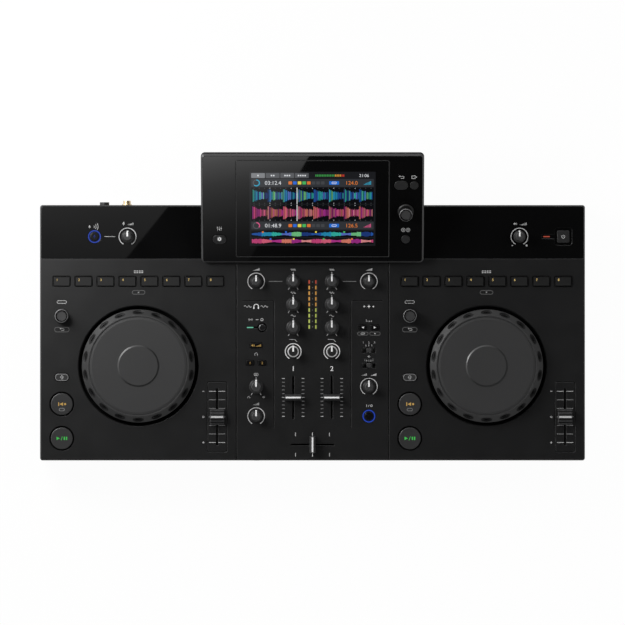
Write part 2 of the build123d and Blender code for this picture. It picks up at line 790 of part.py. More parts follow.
def group_controls():
    """The headphone group on the left of the mixer and the effect group on its right."""
    pair_row = TONE_Y - TONE_PITCH * 2
    return [
        Placed("pairing_button", on_top(-SIDE_X + KEY_SPREAD, pair_row), pairing_button()),
        Placed("phones_keys", on_top(-SIDE_X, MASTER_KEY_Y), key(MASTER_KEY_W)),
        Placed("phones_keys", on_top(-SIDE_X - KEY_SPREAD, CUE_KEY_Y), key(KEY_W)),
        Placed("phones_keys", on_top(-SIDE_X + KEY_SPREAD, CUE_KEY_Y), key(KEY_W)),
        Placed("phones_mix_knob", on_top(-SIDE_X, UPPER_KNOB_Y), tone_knob()),
        Placed("phones_level_knob", on_top(-SIDE_X, LOWER_KNOB_Y), small_knob()),
        Placed("beat_keys", on_top(SIDE_X - KEY_SPREAD, pair_row), key(KEY_W)),
        Placed("beat_keys", on_top(SIDE_X + KEY_SPREAD, pair_row), key(KEY_W)),
        Placed("effect_select_switch", on_top(SIDE_X, EFFECT_SELECT_Y), slide_switch()),
        Placed("effect_channel_switch", on_top(SIDE_X, EFFECT_CHANNEL_Y), slide_switch()),
        Placed("effect_level_knob", on_top(SIDE_X, UPPER_KNOB_Y), small_knob()),
        Placed("effect_button", on_top(SIDE_X, LOWER_KNOB_Y), ring_button()),
    ]


def strip_controls():
    """The controls on the glossy strip."""
    return [
        Placed("mic_button", on_top(-MIC_BUTTON_X, STRIP_ROW_Y), ring_button()),
        Placed("mic_level_knob", on_top(-MIC_KNOB_X, STRIP_ROW_Y), small_knob()),
        Placed("master_level_knob", on_top(MASTER_X, STRIP_ROW_Y), small_knob()),
        Placed("power_button", on_top(POWER_X, STRIP_ROW_Y), power_button()),
    ]


def pod_controls():
    """The controls beside the screen."""
    return [
        Placed("mixer_settings_button", on_pod(-POD_KEY_X, POD_LOW_ROW), pod_pill()),
        Placed("back_button", on_pod(POD_BACK_KEY_X, POD_TOP_ROW), pod_pill()),
        Placed("tag_button", on_pod(POD_TAG_KEY_X, POD_TOP_ROW), pod_round()),
        Placed("browse_knob", on_pod(POD_KEY_X, POD_BROWSE_ROW), browse_knob()),
        Placed("deck_settings_button", on_pod(POD_KEY_X, POD_LOW_ROW), pod_round()),
    ]


def lamp_places():
    """The bars that light up beside the pairing button and the power button."""
    return [
        on_top(-SIDE_X - KEY_SPREAD, TONE_Y - TONE_PITCH * 2),
        on_top(POWER_X - POWER_LAMP_REACH, STRIP_ROW_Y),
    ]


def ring_places():
    return [on_top(-MIC_BUTTON_X, STRIP_ROW_Y), on_top(SIDE_X, LOWER_KNOB_Y)]


def lamp_outline(grow):
    """The outline of a lamp bar, grown by a gap."""
    return box_outline(LAMP_BAR_W, LAMP_BAR_D, LAMP_BAR_D / 3)(grow)


def lamp_window():
    return between(lamp_outline(TRIM_GAP), -PLATE - OVERRUN, OVERRUN)


def light_pipes():
    """Clear bars from the lamps on the boards up to the face, and the two glowing rings."""
    segment = between(Rectangle(METER_W, METER_L), BOARD_LEVEL, 0)
    bar = between(lamp_outline(0), BOARD_LEVEL, -POWER_DISH_D / 2)
    ring = between(Circle(RING_OUTER_R) - Circle(RING_INNER_R), -PLATE, RING_PROUD)
    pipes = [place * segment for place in meter_places()]
    pipes += [place * bar for place in lamp_places()]
    return group(pipes + [place * ring for place in ring_places()])


def lamp_openings():
    """The windows of the light pipes, and the groove from the pairing lamp to its button."""
    outline = Rectangle(METER_W + 2 * TRIM_GAP, METER_L + 2 * TRIM_GAP)
    window = between(outline, -PLATE - OVERRUN, OVERRUN)
    groove_l = 2 * KEY_SPREAD + LAMP_BAR_W / 2
    groove = between(Rectangle(groove_l, LAMP_BAR_D + 2 * TRIM_GAP), -LAMP_GROOVE_D, OVERRUN)
    groove_x = -SIDE_X - KEY_SPREAD - LAMP_BAR_W / 2 + groove_l / 2
    cuts = [place * window for place in meter_places()]
    cuts += [place * lamp_window() for place in lamp_places()]
    return cuts + [on_top(groove_x, TONE_Y - TONE_PITCH * 2) * groove]


def plate_grooves():
    """The lines cut into the top plate: deck seams, group outlines and tempo slider outlines."""
    seam = between(Rectangle(SEAM_W, GLOSS_FRONT), -SEAM_DEPTH, OVERRUN)
    cuts = [on_top(side * SEAM_X, GLOSS_FRONT / 2) * seam for side in (-1, 1)]
    for side in (-1, 1):
        points = [
            (side * (GROUP_X + GROUP_REACH), GROUP_HIGH),
            (side * GROUP_X, GROUP_HIGH),
            (side * GROUP_X, GROUP_LOW),
        ]
        line = FilletPolyline(*points, radius=GROUP_CORNER_R)
        cuts.append(on_top(0, 0) * between(trace(line, GROUP_LINE_W), -GROUP_LINE_DEPTH, OVERRUN))
    outer = RectangleRounded(TEMPO_PLATE_W, TEMPO_PLATE_L, TEMPO_PLATE_R)
    inner_w = TEMPO_PLATE_W - 2 * GROUP_LINE_W
    inner_l = TEMPO_PLATE_L - 2 * GROUP_LINE_W
    outline = outer - RectangleRounded(inner_w, inner_l, TEMPO_PLATE_R - GROUP_LINE_W)
    ring = between(outline, -GROUP_LINE_DEPTH, OVERRUN)
    return cuts + [on_top(x + TEMPO_COLUMN, TEMPO_Y) * ring for x in DECKS.values()]


def column_places():
    """The X and Y of the columns, bosses and screws that hold the case together."""
    corner_x = CASE_W / 2 - COLUMN_INSET
    corners = [(x, y) for x in (-corner_x, corner_x) for y in (COLUMN_INSET, CASE_D - COLUMN_INSET)]
    inner_rows = (INNER_COLUMN_FRONT, INNER_COLUMN_REAR)
    inner = [(x, y) for x in (-INNER_COLUMN_X, INNER_COLUMN_X) for y in inner_rows]
    return [Location((x, front(y), 0)) for x, y in corners + inner]


def case_block(width, depth, corner_r, low, high):
    """A block with rounded upright corners, in the place of the case."""
    outline = RectangleRounded(width, depth, corner_r)
    return Pos(0, front(CASE_D / 2), 0) * between(outline, low, high)


def gloss_outline(grow):
    """The glossy strip's outline on the top plate, grown by a gap."""
    width = CASE_W - 2 * GLOSS_MARGIN + 2 * grow
    depth = CASE_D - GLOSS_MARGIN - GLOSS_FRONT + 2 * grow
    middle = (GLOSS_FRONT + CASE_D - GLOSS_MARGIN) / 2
    return Pos(0, front(middle), 0) * RectangleRounded(width, depth, GLOSS_CORNER_R + grow)


def jog_well_walls():
    """The two cups under the top plate that the jog wheels sink into."""
    low = -WELL_DEPTH - WALL
    cup = between(Circle(WELL_R + WALL), low, -PLATE)
    return [on_top(x, JOG_Y) * cup for x in DECKS.values()]


def jog_well_cuts():
    """The hollow of each well, with a bevelled edge, and the hole for its bush."""
    hollow = turned(
        [
            (0, OVERRUN),
            (WELL_R + WELL_BEVEL + OVERRUN, OVERRUN),
            (WELL_R + WELL_BEVEL, 0),
            (WELL_R, -WELL_BEVEL),
            (WELL_R, -WELL_DEPTH),
            (0, -WELL_DEPTH),
        ]
    )
    hole = between(Circle(BUSH_R + TRIM_GAP), -WELL_DEPTH - WALL - OVERRUN, OVERRUN)
    return [on_top(x, JOG_Y) * cut for x in DECKS.values() for cut in (hollow, hole)]


def socket_openings():
    """The holes in the rear and front walls for the sockets."""
    mic = Circle(MIC_SOCKET_R + TRIM_GAP)
    rca = Circle(RCA_R + TRIM_GAP)
    usb = Rectangle(USB_W + 2 * TRIM_GAP, USB_H + 2 * TRIM_GAP)
    dc = Circle(DC_R + TRIM_GAP)
    holes = [(MIC_SOCKET_X, MIC_SOCKET_Z, mic), (DC_X, DC_Z, dc)]
    holes += [(x, z, rca) for x in (RCA_INPUT_X, RCA_OUTPUT_X) for z in rca_levels()]
    holes += [(x, USB_Z, usb) for x in usb_columns()]
    through = (-OVERRUN, WALL + OVERRUN)
    cuts = [rear_wall(x, z) * between(outline, *through) for x, z, outline in holes]
    phones = between(Circle(PHONES_R + TRIM_GAP), *through)
    return cuts + [front_wall(-SIDE_X, PHONES_Z) * phones]


def rca_levels():
    return (RCA_LOW_Z, RCA_LOW_Z + RCA_PITCH)


def usb_columns():
    return (USB_X, USB_X + USB_PITCH)


def top_case(openings):
    """The top shell: its plate, skirt, jog wells and screw columns, with every opening cut."""
    shell = case_block(CASE_W, CASE_D, CASE_CORNER_R, PARTING_Z, TOP_Z)
    shell = chamfer(top_edges(shell), CASE_BEVEL)
    inner_sizes = (CASE_W - 2 * WALL, CASE_D - 2 * WALL, CASE_CORNER_R - WALL)
    inner = case_block(*inner_sizes, PARTING_Z - OVERRUN, UNDER_PLATE_Z)
    column = between(Circle(COLUMN_R), FLOOR_Z + BOSS_H, UNDER_PLATE_Z)
    pilot_top = BASE_Z + SCREW_SINK + SCREW_L + SEAT_GAP
    pilot = between(Circle(SCREW_R + TRIM_GAP), FLOOR_Z, pilot_top)
    shell = shell - inner
    shell = shell + [place * column for place in column_places()] + jog_well_walls()
    rebate = between(gloss_outline(TRIM_GAP), TOP_Z - GLOSS_T, TOP_Z + OVERRUN)
    cuts = [rebate] + jog_well_cuts() + plate_grooves() + lamp_openings() + socket_openings()
    cuts += [place * pilot for place in column_places()]
    return shell - (cuts + openings)


def case_ring(margin_out, margin_in, low, high):
    """A ring inside the case's outline, between two margins from its outer faces."""
    inner_r = CASE_CORNER_R - WALL
    outer = case_block(CASE_W - 2 * margin_out, CASE_D - 2 * margin_out, inner_r, low, high)
    inner_sizes = (CASE_W - 2 * margin_in, CASE_D - 2 * margin_in)
    return outer - case_block(*inner_sizes, inner_r, low - OVERRUN, high + OVERRUN)


def locating_lip():
    """The lip that centres the top case on the tray, open along the rear for the sockets."""
    lip_in = WALL + SEAT_GAP + LIP_T
    lip = case_ring(WALL + SEAT_GAP, lip_in, PARTING_Z - LIP_H, PARTING_Z + LIP_H)
    lip = lip + case_ring(WALL, lip_in, PARTING_Z - LIP_H, PARTING_Z)
    rear = block(0, REAR_Y - WALL, CASE_W - 2 * lip_in, 2 * lip_in, BASE_Z, TOP_Z)
    return lip - rear


def bottom_case():
    """The tray that closes the case from below, with a locating lip, bosses and standoffs."""
    tray = case_block(CASE_W, CASE_D, CASE_CORNER_R, BASE_Z, PARTING_Z)
    tray = chamfer(tray.edges().group_by(Axis.Z)[0], CASE_BEVEL)
    inner_sizes = (CASE_W - 2 * WALL, CASE_D - 2 * WALL, CASE_CORNER_R - WALL)
    tray = tray - case_block(*inner_sizes, FLOOR_Z, PARTING_Z + OVERRUN)
    boss = between(Circle(BOSS_R), BASE_Z, FLOOR_Z + BOSS_H)
    standoff = between(Circle(STANDOFF_R), BASE_Z, FLOOR_Z + STANDOFF_H)
    posts = [place * boss for place in column_places()]
    posts += [place * standoff for place in standoff_places()]
    sink = between(Circle(SCREW_HEAD_R + TRIM_GAP), BASE_Z - OVERRUN, BASE_Z + SCREW_SINK)
    hole = between(Circle(SCREW_R + TRIM_GAP), BASE_Z, FLOOR_Z + BOSS_H + OVERRUN)
    cuts = [place * cut for place in column_places() for cut in (sink, hole)]
    return tray + [locating_lip()] + posts - cuts


def case_screws():
    """The screws that pass up through the tray into the columns."""
    seat = BASE_Z + SCREW_SINK
    screw = between(Circle(SCREW_HEAD_R), seat - SCREW_HEAD_H, seat)
    screw = screw + between(Circle(SCREW_R), seat, seat + SCREW_L)
    head_low = seat - SCREW_HEAD_H
    socket = between(RegularPolygon(SOCKET_R, 6), head_low - OVERRUN, head_low + SOCKET_D)
    return group([place * (screw - socket) for place in column_places()])


def rubber_feet():
    """Round feet under the corners and under the middle of the front and rear edges."""
    foot = between(Circle(FOOT_R), 0, FOOT_H)
    foot = chamfer(foot.edges().group_by(Axis.Z)[0], CASE_BEVEL)
    columns = (FOOT_INSET - CASE_W / 2, 0, CASE_W / 2 - FOOT_INSET)
    rows = (FOOT_INSET, CASE_D - FOOT_INSET)
    return group([Location((x, front(y), 0)) * foot for x in columns for y in rows])


def standoff_places():
    half = MAIN_BOARD_W / 2 - STANDOFF_INSET
    rows = (MAIN_BOARD_FRONT + STANDOFF_INSET, CASE_D - WALL - BOARD_CLEAR - STANDOFF_INSET)
    columns = (MAIN_BOARD_X - half, MAIN_BOARD_X + half)
    return [Location((x, front(y), 0)) for x in columns for y in rows]


def gloss_strip(openings):
    """The glossy panel that lies in the rebate along the rear of the top plate."""
    strip = between(gloss_outline(0), TOP_Z - GLOSS_T, TOP_Z)
    return strip - openings


def board(left, right, low, high, top):
    """A circuit board between two X and two distances from the front face, clear of the columns."""
    middle_y = front((low + high) / 2)
    plain = block((left + right) / 2, middle_y, right - left, high - low, top - BOARD_T, top)
    clearance = between(Circle(BOSS_R + BOARD_CLEAR), BASE_Z, TOP_Z)
    return plain - [place * clearance for place in column_places()]


def deck_board(x):
    """The board under one deck, with a round hole for the jog wheel's well."""
    edges = sorted((math.copysign(DECK_BOARD_OUT, x), math.copysign(DECK_BOARD_IN, x)))
    plain = board(*edges, DECK_BOARD_FRONT, DECK_BOARD_REAR, CONTROL_BOARD_Z)
    hole = between(Circle(WELL_R + WALL + BOARD_CLEAR), BASE_Z, TOP_Z)
    return plain - Location((x, front(JOG_Y), 0)) * hole


def main_board():
    half = MAIN_BOARD_W / 2
    rear = CASE_D - WALL - BOARD_CLEAR
    return board(MAIN_BOARD_X - half, MAIN_BOARD_X + half, MAIN_BOARD_FRONT, rear, MAIN_BOARD_Z)


def pod_board():
    """The board behind the screen, which its buttons and its selector stand on."""
    length = POD_FACE - POD_BOARD_LOW - POD_BOARD_HIGH
    outline = Rectangle(POD_W - 2 * POD_BOARD_MARGIN, length)
    middle = Location((0, (POD_BOARD_LOW - POD_BOARD_HIGH) / 2, 0))
    return POD_PLANE.location * middle * between(outline, BOARD_LEVEL - BOARD_T, BOARD_LEVEL)


def circuit_boards(switches):
    """Both deck boards, the mixer board, the main board and the pod board, with their switches."""
    boards = [deck_board(x) for x in DECKS.values()]
    mixer_depths = (MIXER_BOARD_FRONT, MIXER_BOARD_REAR)
    boards.append(board(-MIXER_BOARD_X, MIXER_BOARD_X, *mixer_depths, CONTROL_BOARD_Z))
    return group(boards + [main_board(), pod_board()] + switches)


def screen_bezel(openings):
    """The pod's front: a plate with a deep edge, a seat for the glass and a window for the display."""
    slab = between(RectangleRounded(POD_W, POD_FACE, POD_CORNER_R), -POD_EDGE, 0)
    slab = chamfer(top_edges(slab), POD_BEVEL)
    inside = RectangleRounded(POD_W - 2 * WALL, POD_FACE - 2 * WALL, POD_CORNER_R - WALL)
    hollow = between(inside, -POD_EDGE - OVERRUN, -PLATE)
    seat = between(box_outline(GLASS_W, GLASS_L, GLASS_CORNER_R)(TRIM_GAP), -GLASS_T, OVERRUN)
    display = Rectangle(LCD_W + 2 * TRIM_GAP, LCD_L + 2 * TRIM_GAP)
    window = between(display, -POD_EDGE, OVERRUN)
    return POD_PLANE.location * (slab - [hollow, seat, window]) - openings


def touch_screen():
    """The touch glass and the display that is bonded to its back."""
    glass = between(RectangleRounded(GLASS_W, GLASS_L, GLASS_CORNER_R), -GLASS_T, 0)
    display = between(Rectangle(LCD_W, LCD_L), -GLASS_T - LCD_T, -GLASS_T)
    return group([POD_PLANE.location * glass, POD_PLANE.location * display])


def pod_point(y, depth):
    """The Y and Z of a point that lies up the pod's face and this deep behind it."""
    up_face = Vector(0, math.cos(TILT), math.sin(TILT))
    point = Vector(POD_ORIGIN) + up_face * y - Vector(POD_NORMAL) * depth
    return (point.Y, point.Z)


def screen_rear_shell():
    """The hollow wedge behind the screen, which stands on the glossy strip and carries the bezel."""
    reach = POD_FACE / 2 - POD_INSET
    low = pod_point(-reach, POD_EDGE)
    outline = [
        low,
        pod_point(reach, POD_EDGE),
        pod_point(reach - POD_BACK_SLOPE, POD_EDGE + POD_BACK),
        (REAR_Y - POD_REAR_MARGIN, TOP_Z),
        (low[0], TOP_Z),
    ]
    profile = make_face(Polyline(*outline, close=True))
    half = POD_W / 2 - POD_INSET
    wedge = extrude(Plane.YZ * profile, amount=half, both=True)
    upright = wedge.edges().filter_by(Axis.X, reverse=True).group_by(Axis.Y)[-1]
    wedge = chamfer(upright, POD_BEVEL)
    hollow = extrude(Plane.YZ * offset(profile, -WALL), amount=half - WALL, both=True)
    lift = Vector(POD_NORMAL) * (WALL + OVERRUN)
    return wedge - [hollow, Pos(*lift) * hollow]


def mic_socket():
    """A quarter-inch socket: a threaded nose through the rear wall and its body inside."""
    mouth = WALL + MIC_SOCKET_PROUD
    shape = between(Circle(MIC_SOCKET_R), 0, mouth)
    shape = shape + between(Rectangle(MIC_BODY_W, MIC_BODY_H), -MIC_BODY_L, 0)
    shape = shape - between(Circle(MIC_BORE_R), mouth - MIC_BORE_L, mouth + OVERRUN)
    body_y = REAR_Y - WALL - MIC_BODY_L / 2
    body_low = MIC_SOCKET_Z - MIC_BODY_H / 2
    foot = block(MIC_SOCKET_X, body_y, MIC_BODY_W, MIC_BODY_L, MAIN_BOARD_Z, body_low)
    return rear_wall(MIC_SOCKET_X, MIC_SOCKET_Z) * shape + foot


def rca_pair(x):
    """Two stacked phono sockets on one upright body: a collar and a hollow metal sleeve each."""
    body_y = REAR_Y - WALL - RCA_BODY_L / 2
    top = RCA_LOW_Z + RCA_PITCH + RCA_BODY_W / 2
    body = block(x, body_y, RCA_BODY_W, RCA_BODY_L, MAIN_BOARD_Z, top)
    sleeve = between(Circle(RCA_R) - Circle(RCA_BORE_R), 0, WALL + RCA_PROUD)
    collar_ring = Circle(RCA_COLLAR_R) - Circle(RCA_R + TRIM_GAP)
    collar = between(collar_ring, WALL, WALL + RCA_COLLAR_T)
    bore = between(Circle(RCA_BORE_R), RCA_PROUD - RCA_BORE_L, OVERRUN)
    pieces = []
    for level in rca_levels():
        body = body - rear_wall(x, level) * bore
        pieces += [rear_wall(x, level) * sleeve, rear_wall(x, level) * collar]
    return [body] + pieces


def usb_port(x):
    """A flat data socket: a metal shell with a tongue inside, on a block that stands on the board."""
    mouth = WALL + USB_PROUD
    back = mouth - USB_L
    shell = between(Rectangle(USB_W, USB_H), back, mouth)
    inner_w = USB_W - 2 * USB_WALL
    inner = Rectangle(inner_w, USB_H - 2 * USB_WALL)
    shell = shell - between(inner, back + USB_BACK_T, mouth + OVERRUN)
    tongue = Rectangle(inner_w - 2 * USB_TONGUE_INSET, USB_TONGUE_T)
    shell = shell + between(tongue, back, mouth - USB_TONGUE_INSET)
    foot_l = -back - TRIM_GAP
    foot_y = REAR_Y - WALL - TRIM_GAP - foot_l / 2
    foot = block(x, foot_y, USB_W, foot_l, MAIN_BOARD_Z, USB_Z - USB_H / 2)
    return rear_wall(x, USB_Z) * shell + foot


def dc_socket():
    """The round power socket with its centre pin."""
    mouth = WALL + DC_PROUD
    shape = between(Circle(DC_R), 0, mouth)
    shape = shape + between(Rectangle(DC_BODY_W, DC_BODY_W), -DC_BODY_L, 0)
    shape = shape - between(Circle(DC_BORE_R), mouth - DC_BORE_L, mouth + OVERRUN)
    shape = shape + between(Circle(DC_PIN_R), mouth - DC_BORE_L, mouth - DC_PIN_R)
    body_y = REAR_Y - WALL - DC_BODY_L / 2
    foot = block(DC_X, body_y, DC_BODY_W, DC_BODY_L, MAIN_BOARD_Z, DC_Z - DC_BODY_W / 2)
    return rear_wall(DC_X, DC_Z) * shape + foot


def phones_socket():
    """The small headphone socket in the front wall."""
    nose = between(Circle(PHONES_R), 0, WALL + PHONES_PROUD)
    body = between(Rectangle(PHONES_BODY_W, PHONES_BODY_W), -PHONES_BODY_L, 0)
    mouth = WALL + PHONES_PROUD
    bore = between(Circle(PHONES_BORE_R), mouth - PHONES_BORE_L, mouth + OVERRUN)
    return front_wall(-SIDE_X, PHONES_Z) * (nose + body - bore)


def sockets():
    """Every socket on the rear wall and the headphone socket in front."""
    pieces = [mic_socket(), dc_socket(), phones_socket()]
    pieces += rca_pair(RCA_INPUT_X) + rca_pair(RCA_OUTPUT_X)
    return group(pieces + [usb_port(x) for x in usb_columns()])


def nodes():
    """Every node of the part by its name."""
    on_case = deck_controls() + mixer_controls() + group_controls() + strip_controls()
    on_screen = pod_controls()
    controls = on_case + on_screen
    case_openings = [item.place * item.control.opening for item in on_case]
    strip_openings = [item.place * item.control.opening for item in strip_controls()]
    strip_openings += [place * lamp_window() for place in lamp_places()]
    screen_openings = [item.place * item.control.opening for item in on_screen]
    slides = ("slider", "fader")
    turning = [item for item in controls if "knob" in item.name]
    sliding = [item for item in controls if any(word in item.name for word in slides)]
    pressed = [item for item in controls if item not in turning and item not in sliding]

    made = {}
    for item in controls:
        made.setdefault(item.name, []).append(item.place * item.control.moving)
    made = {name: group(pieces) for name, pieces in made.items()}
    rim = jog_rim()
    for side, x in DECKS.items():
        made[f"jog_rim_{side}"] = group([on_top(x, JOG_Y) * rim])
        made[f"jog_plate_{side}"] = group([on_top(x, JOG_Y) * jog_plate()])
    made["jog_bushes"] = group([on_top(x, JOG_Y) * jog_bush() for x in DECKS.values()])
    made["potentiometers"] = group([item.place * item.control.fixed for item in turning + sliding])
    made["circuit_boards"] = circuit_boards([item.place * item.control.fixed for item in pressed])
    made["light_pipes"] = light_pipes()
    made["top_case"] = group([top_case(case_openings)])
    made["bottom_case"] = group([bottom_case()])
    made["gloss_strip"] = group([gloss_strip(strip_openings)])
    made["screen_bezel"] = group([screen_bezel(screen_openings)])
    made["screen_rear_shell"] = group([screen_rear_shell()])
    made["touch_screen"] = touch_screen()
    made["rubber_feet"] = rubber_feet()
    made["case_screws"] = case_screws()
    made["sockets"] = sockets()
    return made


def main():
    os.makedirs("parts", exist_ok=True)
    for name, shape in nodes().items():
        export_step(shape, f"parts/{name}.step")


if __name__ == "__main__":
    main()
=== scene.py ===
import json
import math
import random

import bmesh
import bpy
from bpy.props import FloatProperty, FloatVectorProperty, PointerProperty
from mathutils import Matrix, Vector


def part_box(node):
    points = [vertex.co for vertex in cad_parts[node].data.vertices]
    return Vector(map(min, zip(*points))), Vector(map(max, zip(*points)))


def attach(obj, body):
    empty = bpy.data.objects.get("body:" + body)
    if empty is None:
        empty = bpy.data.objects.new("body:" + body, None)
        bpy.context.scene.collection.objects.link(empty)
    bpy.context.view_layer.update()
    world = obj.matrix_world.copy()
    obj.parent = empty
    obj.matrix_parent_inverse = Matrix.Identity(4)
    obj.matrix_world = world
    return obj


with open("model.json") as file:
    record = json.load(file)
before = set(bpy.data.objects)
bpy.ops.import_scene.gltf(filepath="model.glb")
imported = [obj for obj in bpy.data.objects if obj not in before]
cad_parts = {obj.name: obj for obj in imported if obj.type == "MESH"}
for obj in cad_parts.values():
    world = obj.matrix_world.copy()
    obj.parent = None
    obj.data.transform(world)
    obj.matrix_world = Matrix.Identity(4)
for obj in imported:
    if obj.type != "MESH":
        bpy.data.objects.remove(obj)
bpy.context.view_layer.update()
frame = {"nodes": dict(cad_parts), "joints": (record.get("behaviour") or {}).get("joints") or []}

bl_info = {
    "name": "Two-deck player",
    "version": (1, 0, 0),
    "blender": (4, 5, 0),
    "location": "3D View > Sidebar > Player",
    "description": "Finishes, printed marks, lamps, screen picture and studio of a two-deck player",
    "category": "Object",
}

# Lengths are in millimetres where nothing else is said, and MM turns them into metres. Marks are
# placed from the middle of the nodes they belong to.
MM = 0.001
SIDES = ("left", "right")
CHANNELS = ("1", "2")
BOTH = (-1, 1)
BLACK = (0.0, 0.0, 0.0, 1.0)

# Ink: the settings that are inks and not lamps, how far ink reaches into its surface, the widths of
# strokes, the least share of a mitre, degrees to a step of an arc, and steps to a figure's curve
INKS = ("white", "pale", "grey", "dim", "outline", "faint")
INK_SINK = 0.02
STROKE = 0.75
THIN = 0.6
MITRE_LEAST = 0.35
ARC_STEP = 6.0
FIGURE_STEPS = 4

# Knobs: the turn of the dials to either side in degrees, their strokes and radii, and the periods
# in the sign of each tone
DIAL_SPAN = 152.0
DIAL_STROKES = (0.85, 0.95)
DIALS = {
    "trim_knob_1": 9.8,
    "trim_knob_2": 9.8,
    "phones_level_knob": 9.8,
    "effect_level_knob": 9.8,
    "filter_knob_1": 9.25,
    "filter_knob_2": 9.25,
    "mic_level_knob": 10.0,
    "master_level_knob": 9.9,
}
STRIP_DIALS = ("mic_level_knob", "master_level_knob")
TONES = {"high": 4, "mid": 2, "low": 1}
CENTRED_KNOBS = [f"{band}_knob_{channel}" for band in TONES for channel in CHANNELS]
CENTRED_KNOBS.append("phones_mix_knob")

# Ticks by radius, with their turn in degrees, the widths of pointers, and how far pointers and
# painted rings reach into and above a knob's outline
TICK_TOP = (8.9, 11.0)
TICK_END = (8.7, 11.4)
TICK_END_TURN = 149.0
TONE_POINTER_W = 1.8
LEVEL_POINTER_W = 1.9
SKIN_SINK = 0.16
SKIN_RISE = 0.05
RING_STEPS = 72
RING_SHARES = (0.8, 0.965)

# Labels over knobs and signs over groups, above the middle of what they belong to
LABEL_RISE = 14.0
LABEL_H = 2.8
SIGN_RISE = 14.2
GROUP_RISE = 24.6

# How far below a node's top its edge begins
KNOB_TOP_DROP = 0.8
BUTTON_EDGE_DROP = 0.05
PAD_EDGE_DROP = 0.05

# Faders: the lines on their caps, and on the tempo caps half the depth and the depth of one tread
FADER_LINE = (17.6, 1.8)
TEMPO_LINE = (14.5, 1.8)
CAP_HALF = 8.95
CAP_STEP = 1.72
TEMPO_PITCH = 10.0
FADER_PITCH = 4.43

# Selectors: room for the dish's depth, and the radii of its floor and of the ring round it
DISH_DEEP = 1.5
DISH_FLOOR_R = 5.5
DISH_RING_R = 7.1

# Pads, buttons and keys
DECK_BUTTONS = ("cue", "play", "shift")
PAD_COUNT = 8
PAD_W = 20.0
PAD_FLANGE = 1.2
# The painted shadow line round each pad: its width, depth and corner radius, then its stroke
PAD_SHADE_LINE = (18.5, 10.3, 1.0)
PAD_SHADE_LINE_W = 0.45
KEY_D = 5.8
KEY_PITCH = 7.1

# Screen pod: its tilt in degrees, how far its keys stand out, what the glass's leaning edge adds to
# its depth, and where the bezel's edge begins and ends below its face
POD_TILT = 20.0
POD_KEYS = ("mixer_settings_button", "back_button", "tag_button", "deck_settings_button")
POD_KEY_PROUD = 0.9
GLASS_LEAN = 0.73
BEZEL_EDGE = (0.3, 2.2)

# Meter: half its width, its columns, its rows and the first lime one, the length of a lamp, half
# the size of the lit middle and the width of its fade, and the weaker column's share
METER_REACH = 8.0
METER_X = 3.9
METER_ROWS = 9
METER_LIME_ROW = 5
METER_LAMP_L = 5.2
METER_LIT = (1.0, 2.3)
METER_FADE = 0.4
METER_WEAK = 0.76

# Lamp bars and lit rings: bright cores, and how far the pairing lamp may lie from its button
BAR_CORE = 0.72
BAR_FADE = 0.4
RING_CORE = (6.9, 0.75)
PAIRING_ZONE = 40.0

# Jog wheels: the wells' reach and lip, a point of the rims' shoulder by radius and level and the
# way it faces, the scoops and the lip in it, and the slope of the touch plates
JOG_ZONE = 72.0
WELL_LIP = 1.1
SHOULDER = (62.9, 7.5)
SHOULDER_LEAN = (0.673, 0.740)
SCOOP_LEAST = 0.06
SCOOP_ZONE = (59.3, 4.0)
LIP_R = 59.3
LIP_LEVEL = 10.6
BEVEL_ZONE = (22.0, 24.6)
BEVEL_DROP = 0.1

# Top plate: the margin without grooves and the depths of grooves. Boards: the slide switches, half
# the size of their windows, and the levels between which parts lie
SWITCHES = ("effect_select_switch", "effect_channel_switch")
CASE_MARGIN = 4.0
GROOVE_LEAST = 0.05
GROOVE_MOST = 3.4
WINDOW = (9.7, 4.7)
PARTS_LEVEL = (49.7, 56.0)

# Sockets on the rear wall: columns as seen from the front, and how far in each finish reaches
MIC_COLUMN = -244.4
PHONO_COLUMNS = (-217.9, -60.0)
PHONO_REACH = 6.0
PHONO_DEEP = 0.5
PORT_COLUMNS = (10.0, 34.0)
PORT_ZONE = (0.0, 42.0)
PORT_DEEP = 2.0
POWER_COLUMN = 75.0

# Screen picture, with its colours as 0 to 255 on a display
PICTURE_W = 146.8
PICTURE_H = 91.3
PICTURE_EDGE = 71.4
DARK = (30, 31, 34)
PANEL = (52, 54, 58)
RAISED = (86, 88, 92)
PALE = (226, 228, 232)
CHOSEN = (128, 130, 134)
UNUSED = (70, 72, 76)
WAVE_BACK = (14, 15, 18)
MAP_BACK = (16, 17, 20)
PLAYHEAD = (245, 245, 245)
LOOPED = (38, 112, 214)
TEMPO = (230, 128, 54)
DECK_TONES = ((52, 170, 204), (222, 92, 140))
LEVELS = ((62, 150, 74),) * 12 + ((214, 150, 60),) * 4 + ((200, 62, 48),) * 2
COOL = (
    (40, 92, 176), (42, 148, 190), (58, 190, 176),
    (96, 120, 210), (120, 205, 140), (34, 64, 132),
)
WARM = (
    (206, 74, 128), (226, 104, 132), (190, 60, 150),
    (228, 132, 112), (164, 50, 140), (236, 150, 150),
)
SPOTS = ((226, 120, 52), (52, 110, 220), (236, 214, 82), (76, 186, 98))
SEED = 7

# Lights: place, what they are turned to and size in metres, and whether they show in gloss
LIGHTS = {
    "key": ((-0.475, 0.245, 0.5), (-0.2, 0.0, 0.06), 0.22, True),
    "edge": ((-1.15, 0.8, 0.6), (-0.1, 0.0, 0.06), 0.9, True),
    "fill": ((1.0, 0.2, 0.9), (0.1, 0.0, 0.06), 0.8, False),
    "front": ((0.1, -1.1, 0.9), (0.0, 0.0, 0.06), 0.8, False),
}

# Studio: the way to its brightest wall, and the floor's radius and the camera's place in metres
GLEAM_WAY = (-0.75, 0.66)
SEEN_RAYS = ("Is Camera Ray", "Is Glossy Ray", "Is Transmission Ray")
FLOOR_R = 9.0
AIM_Y = -0.0063

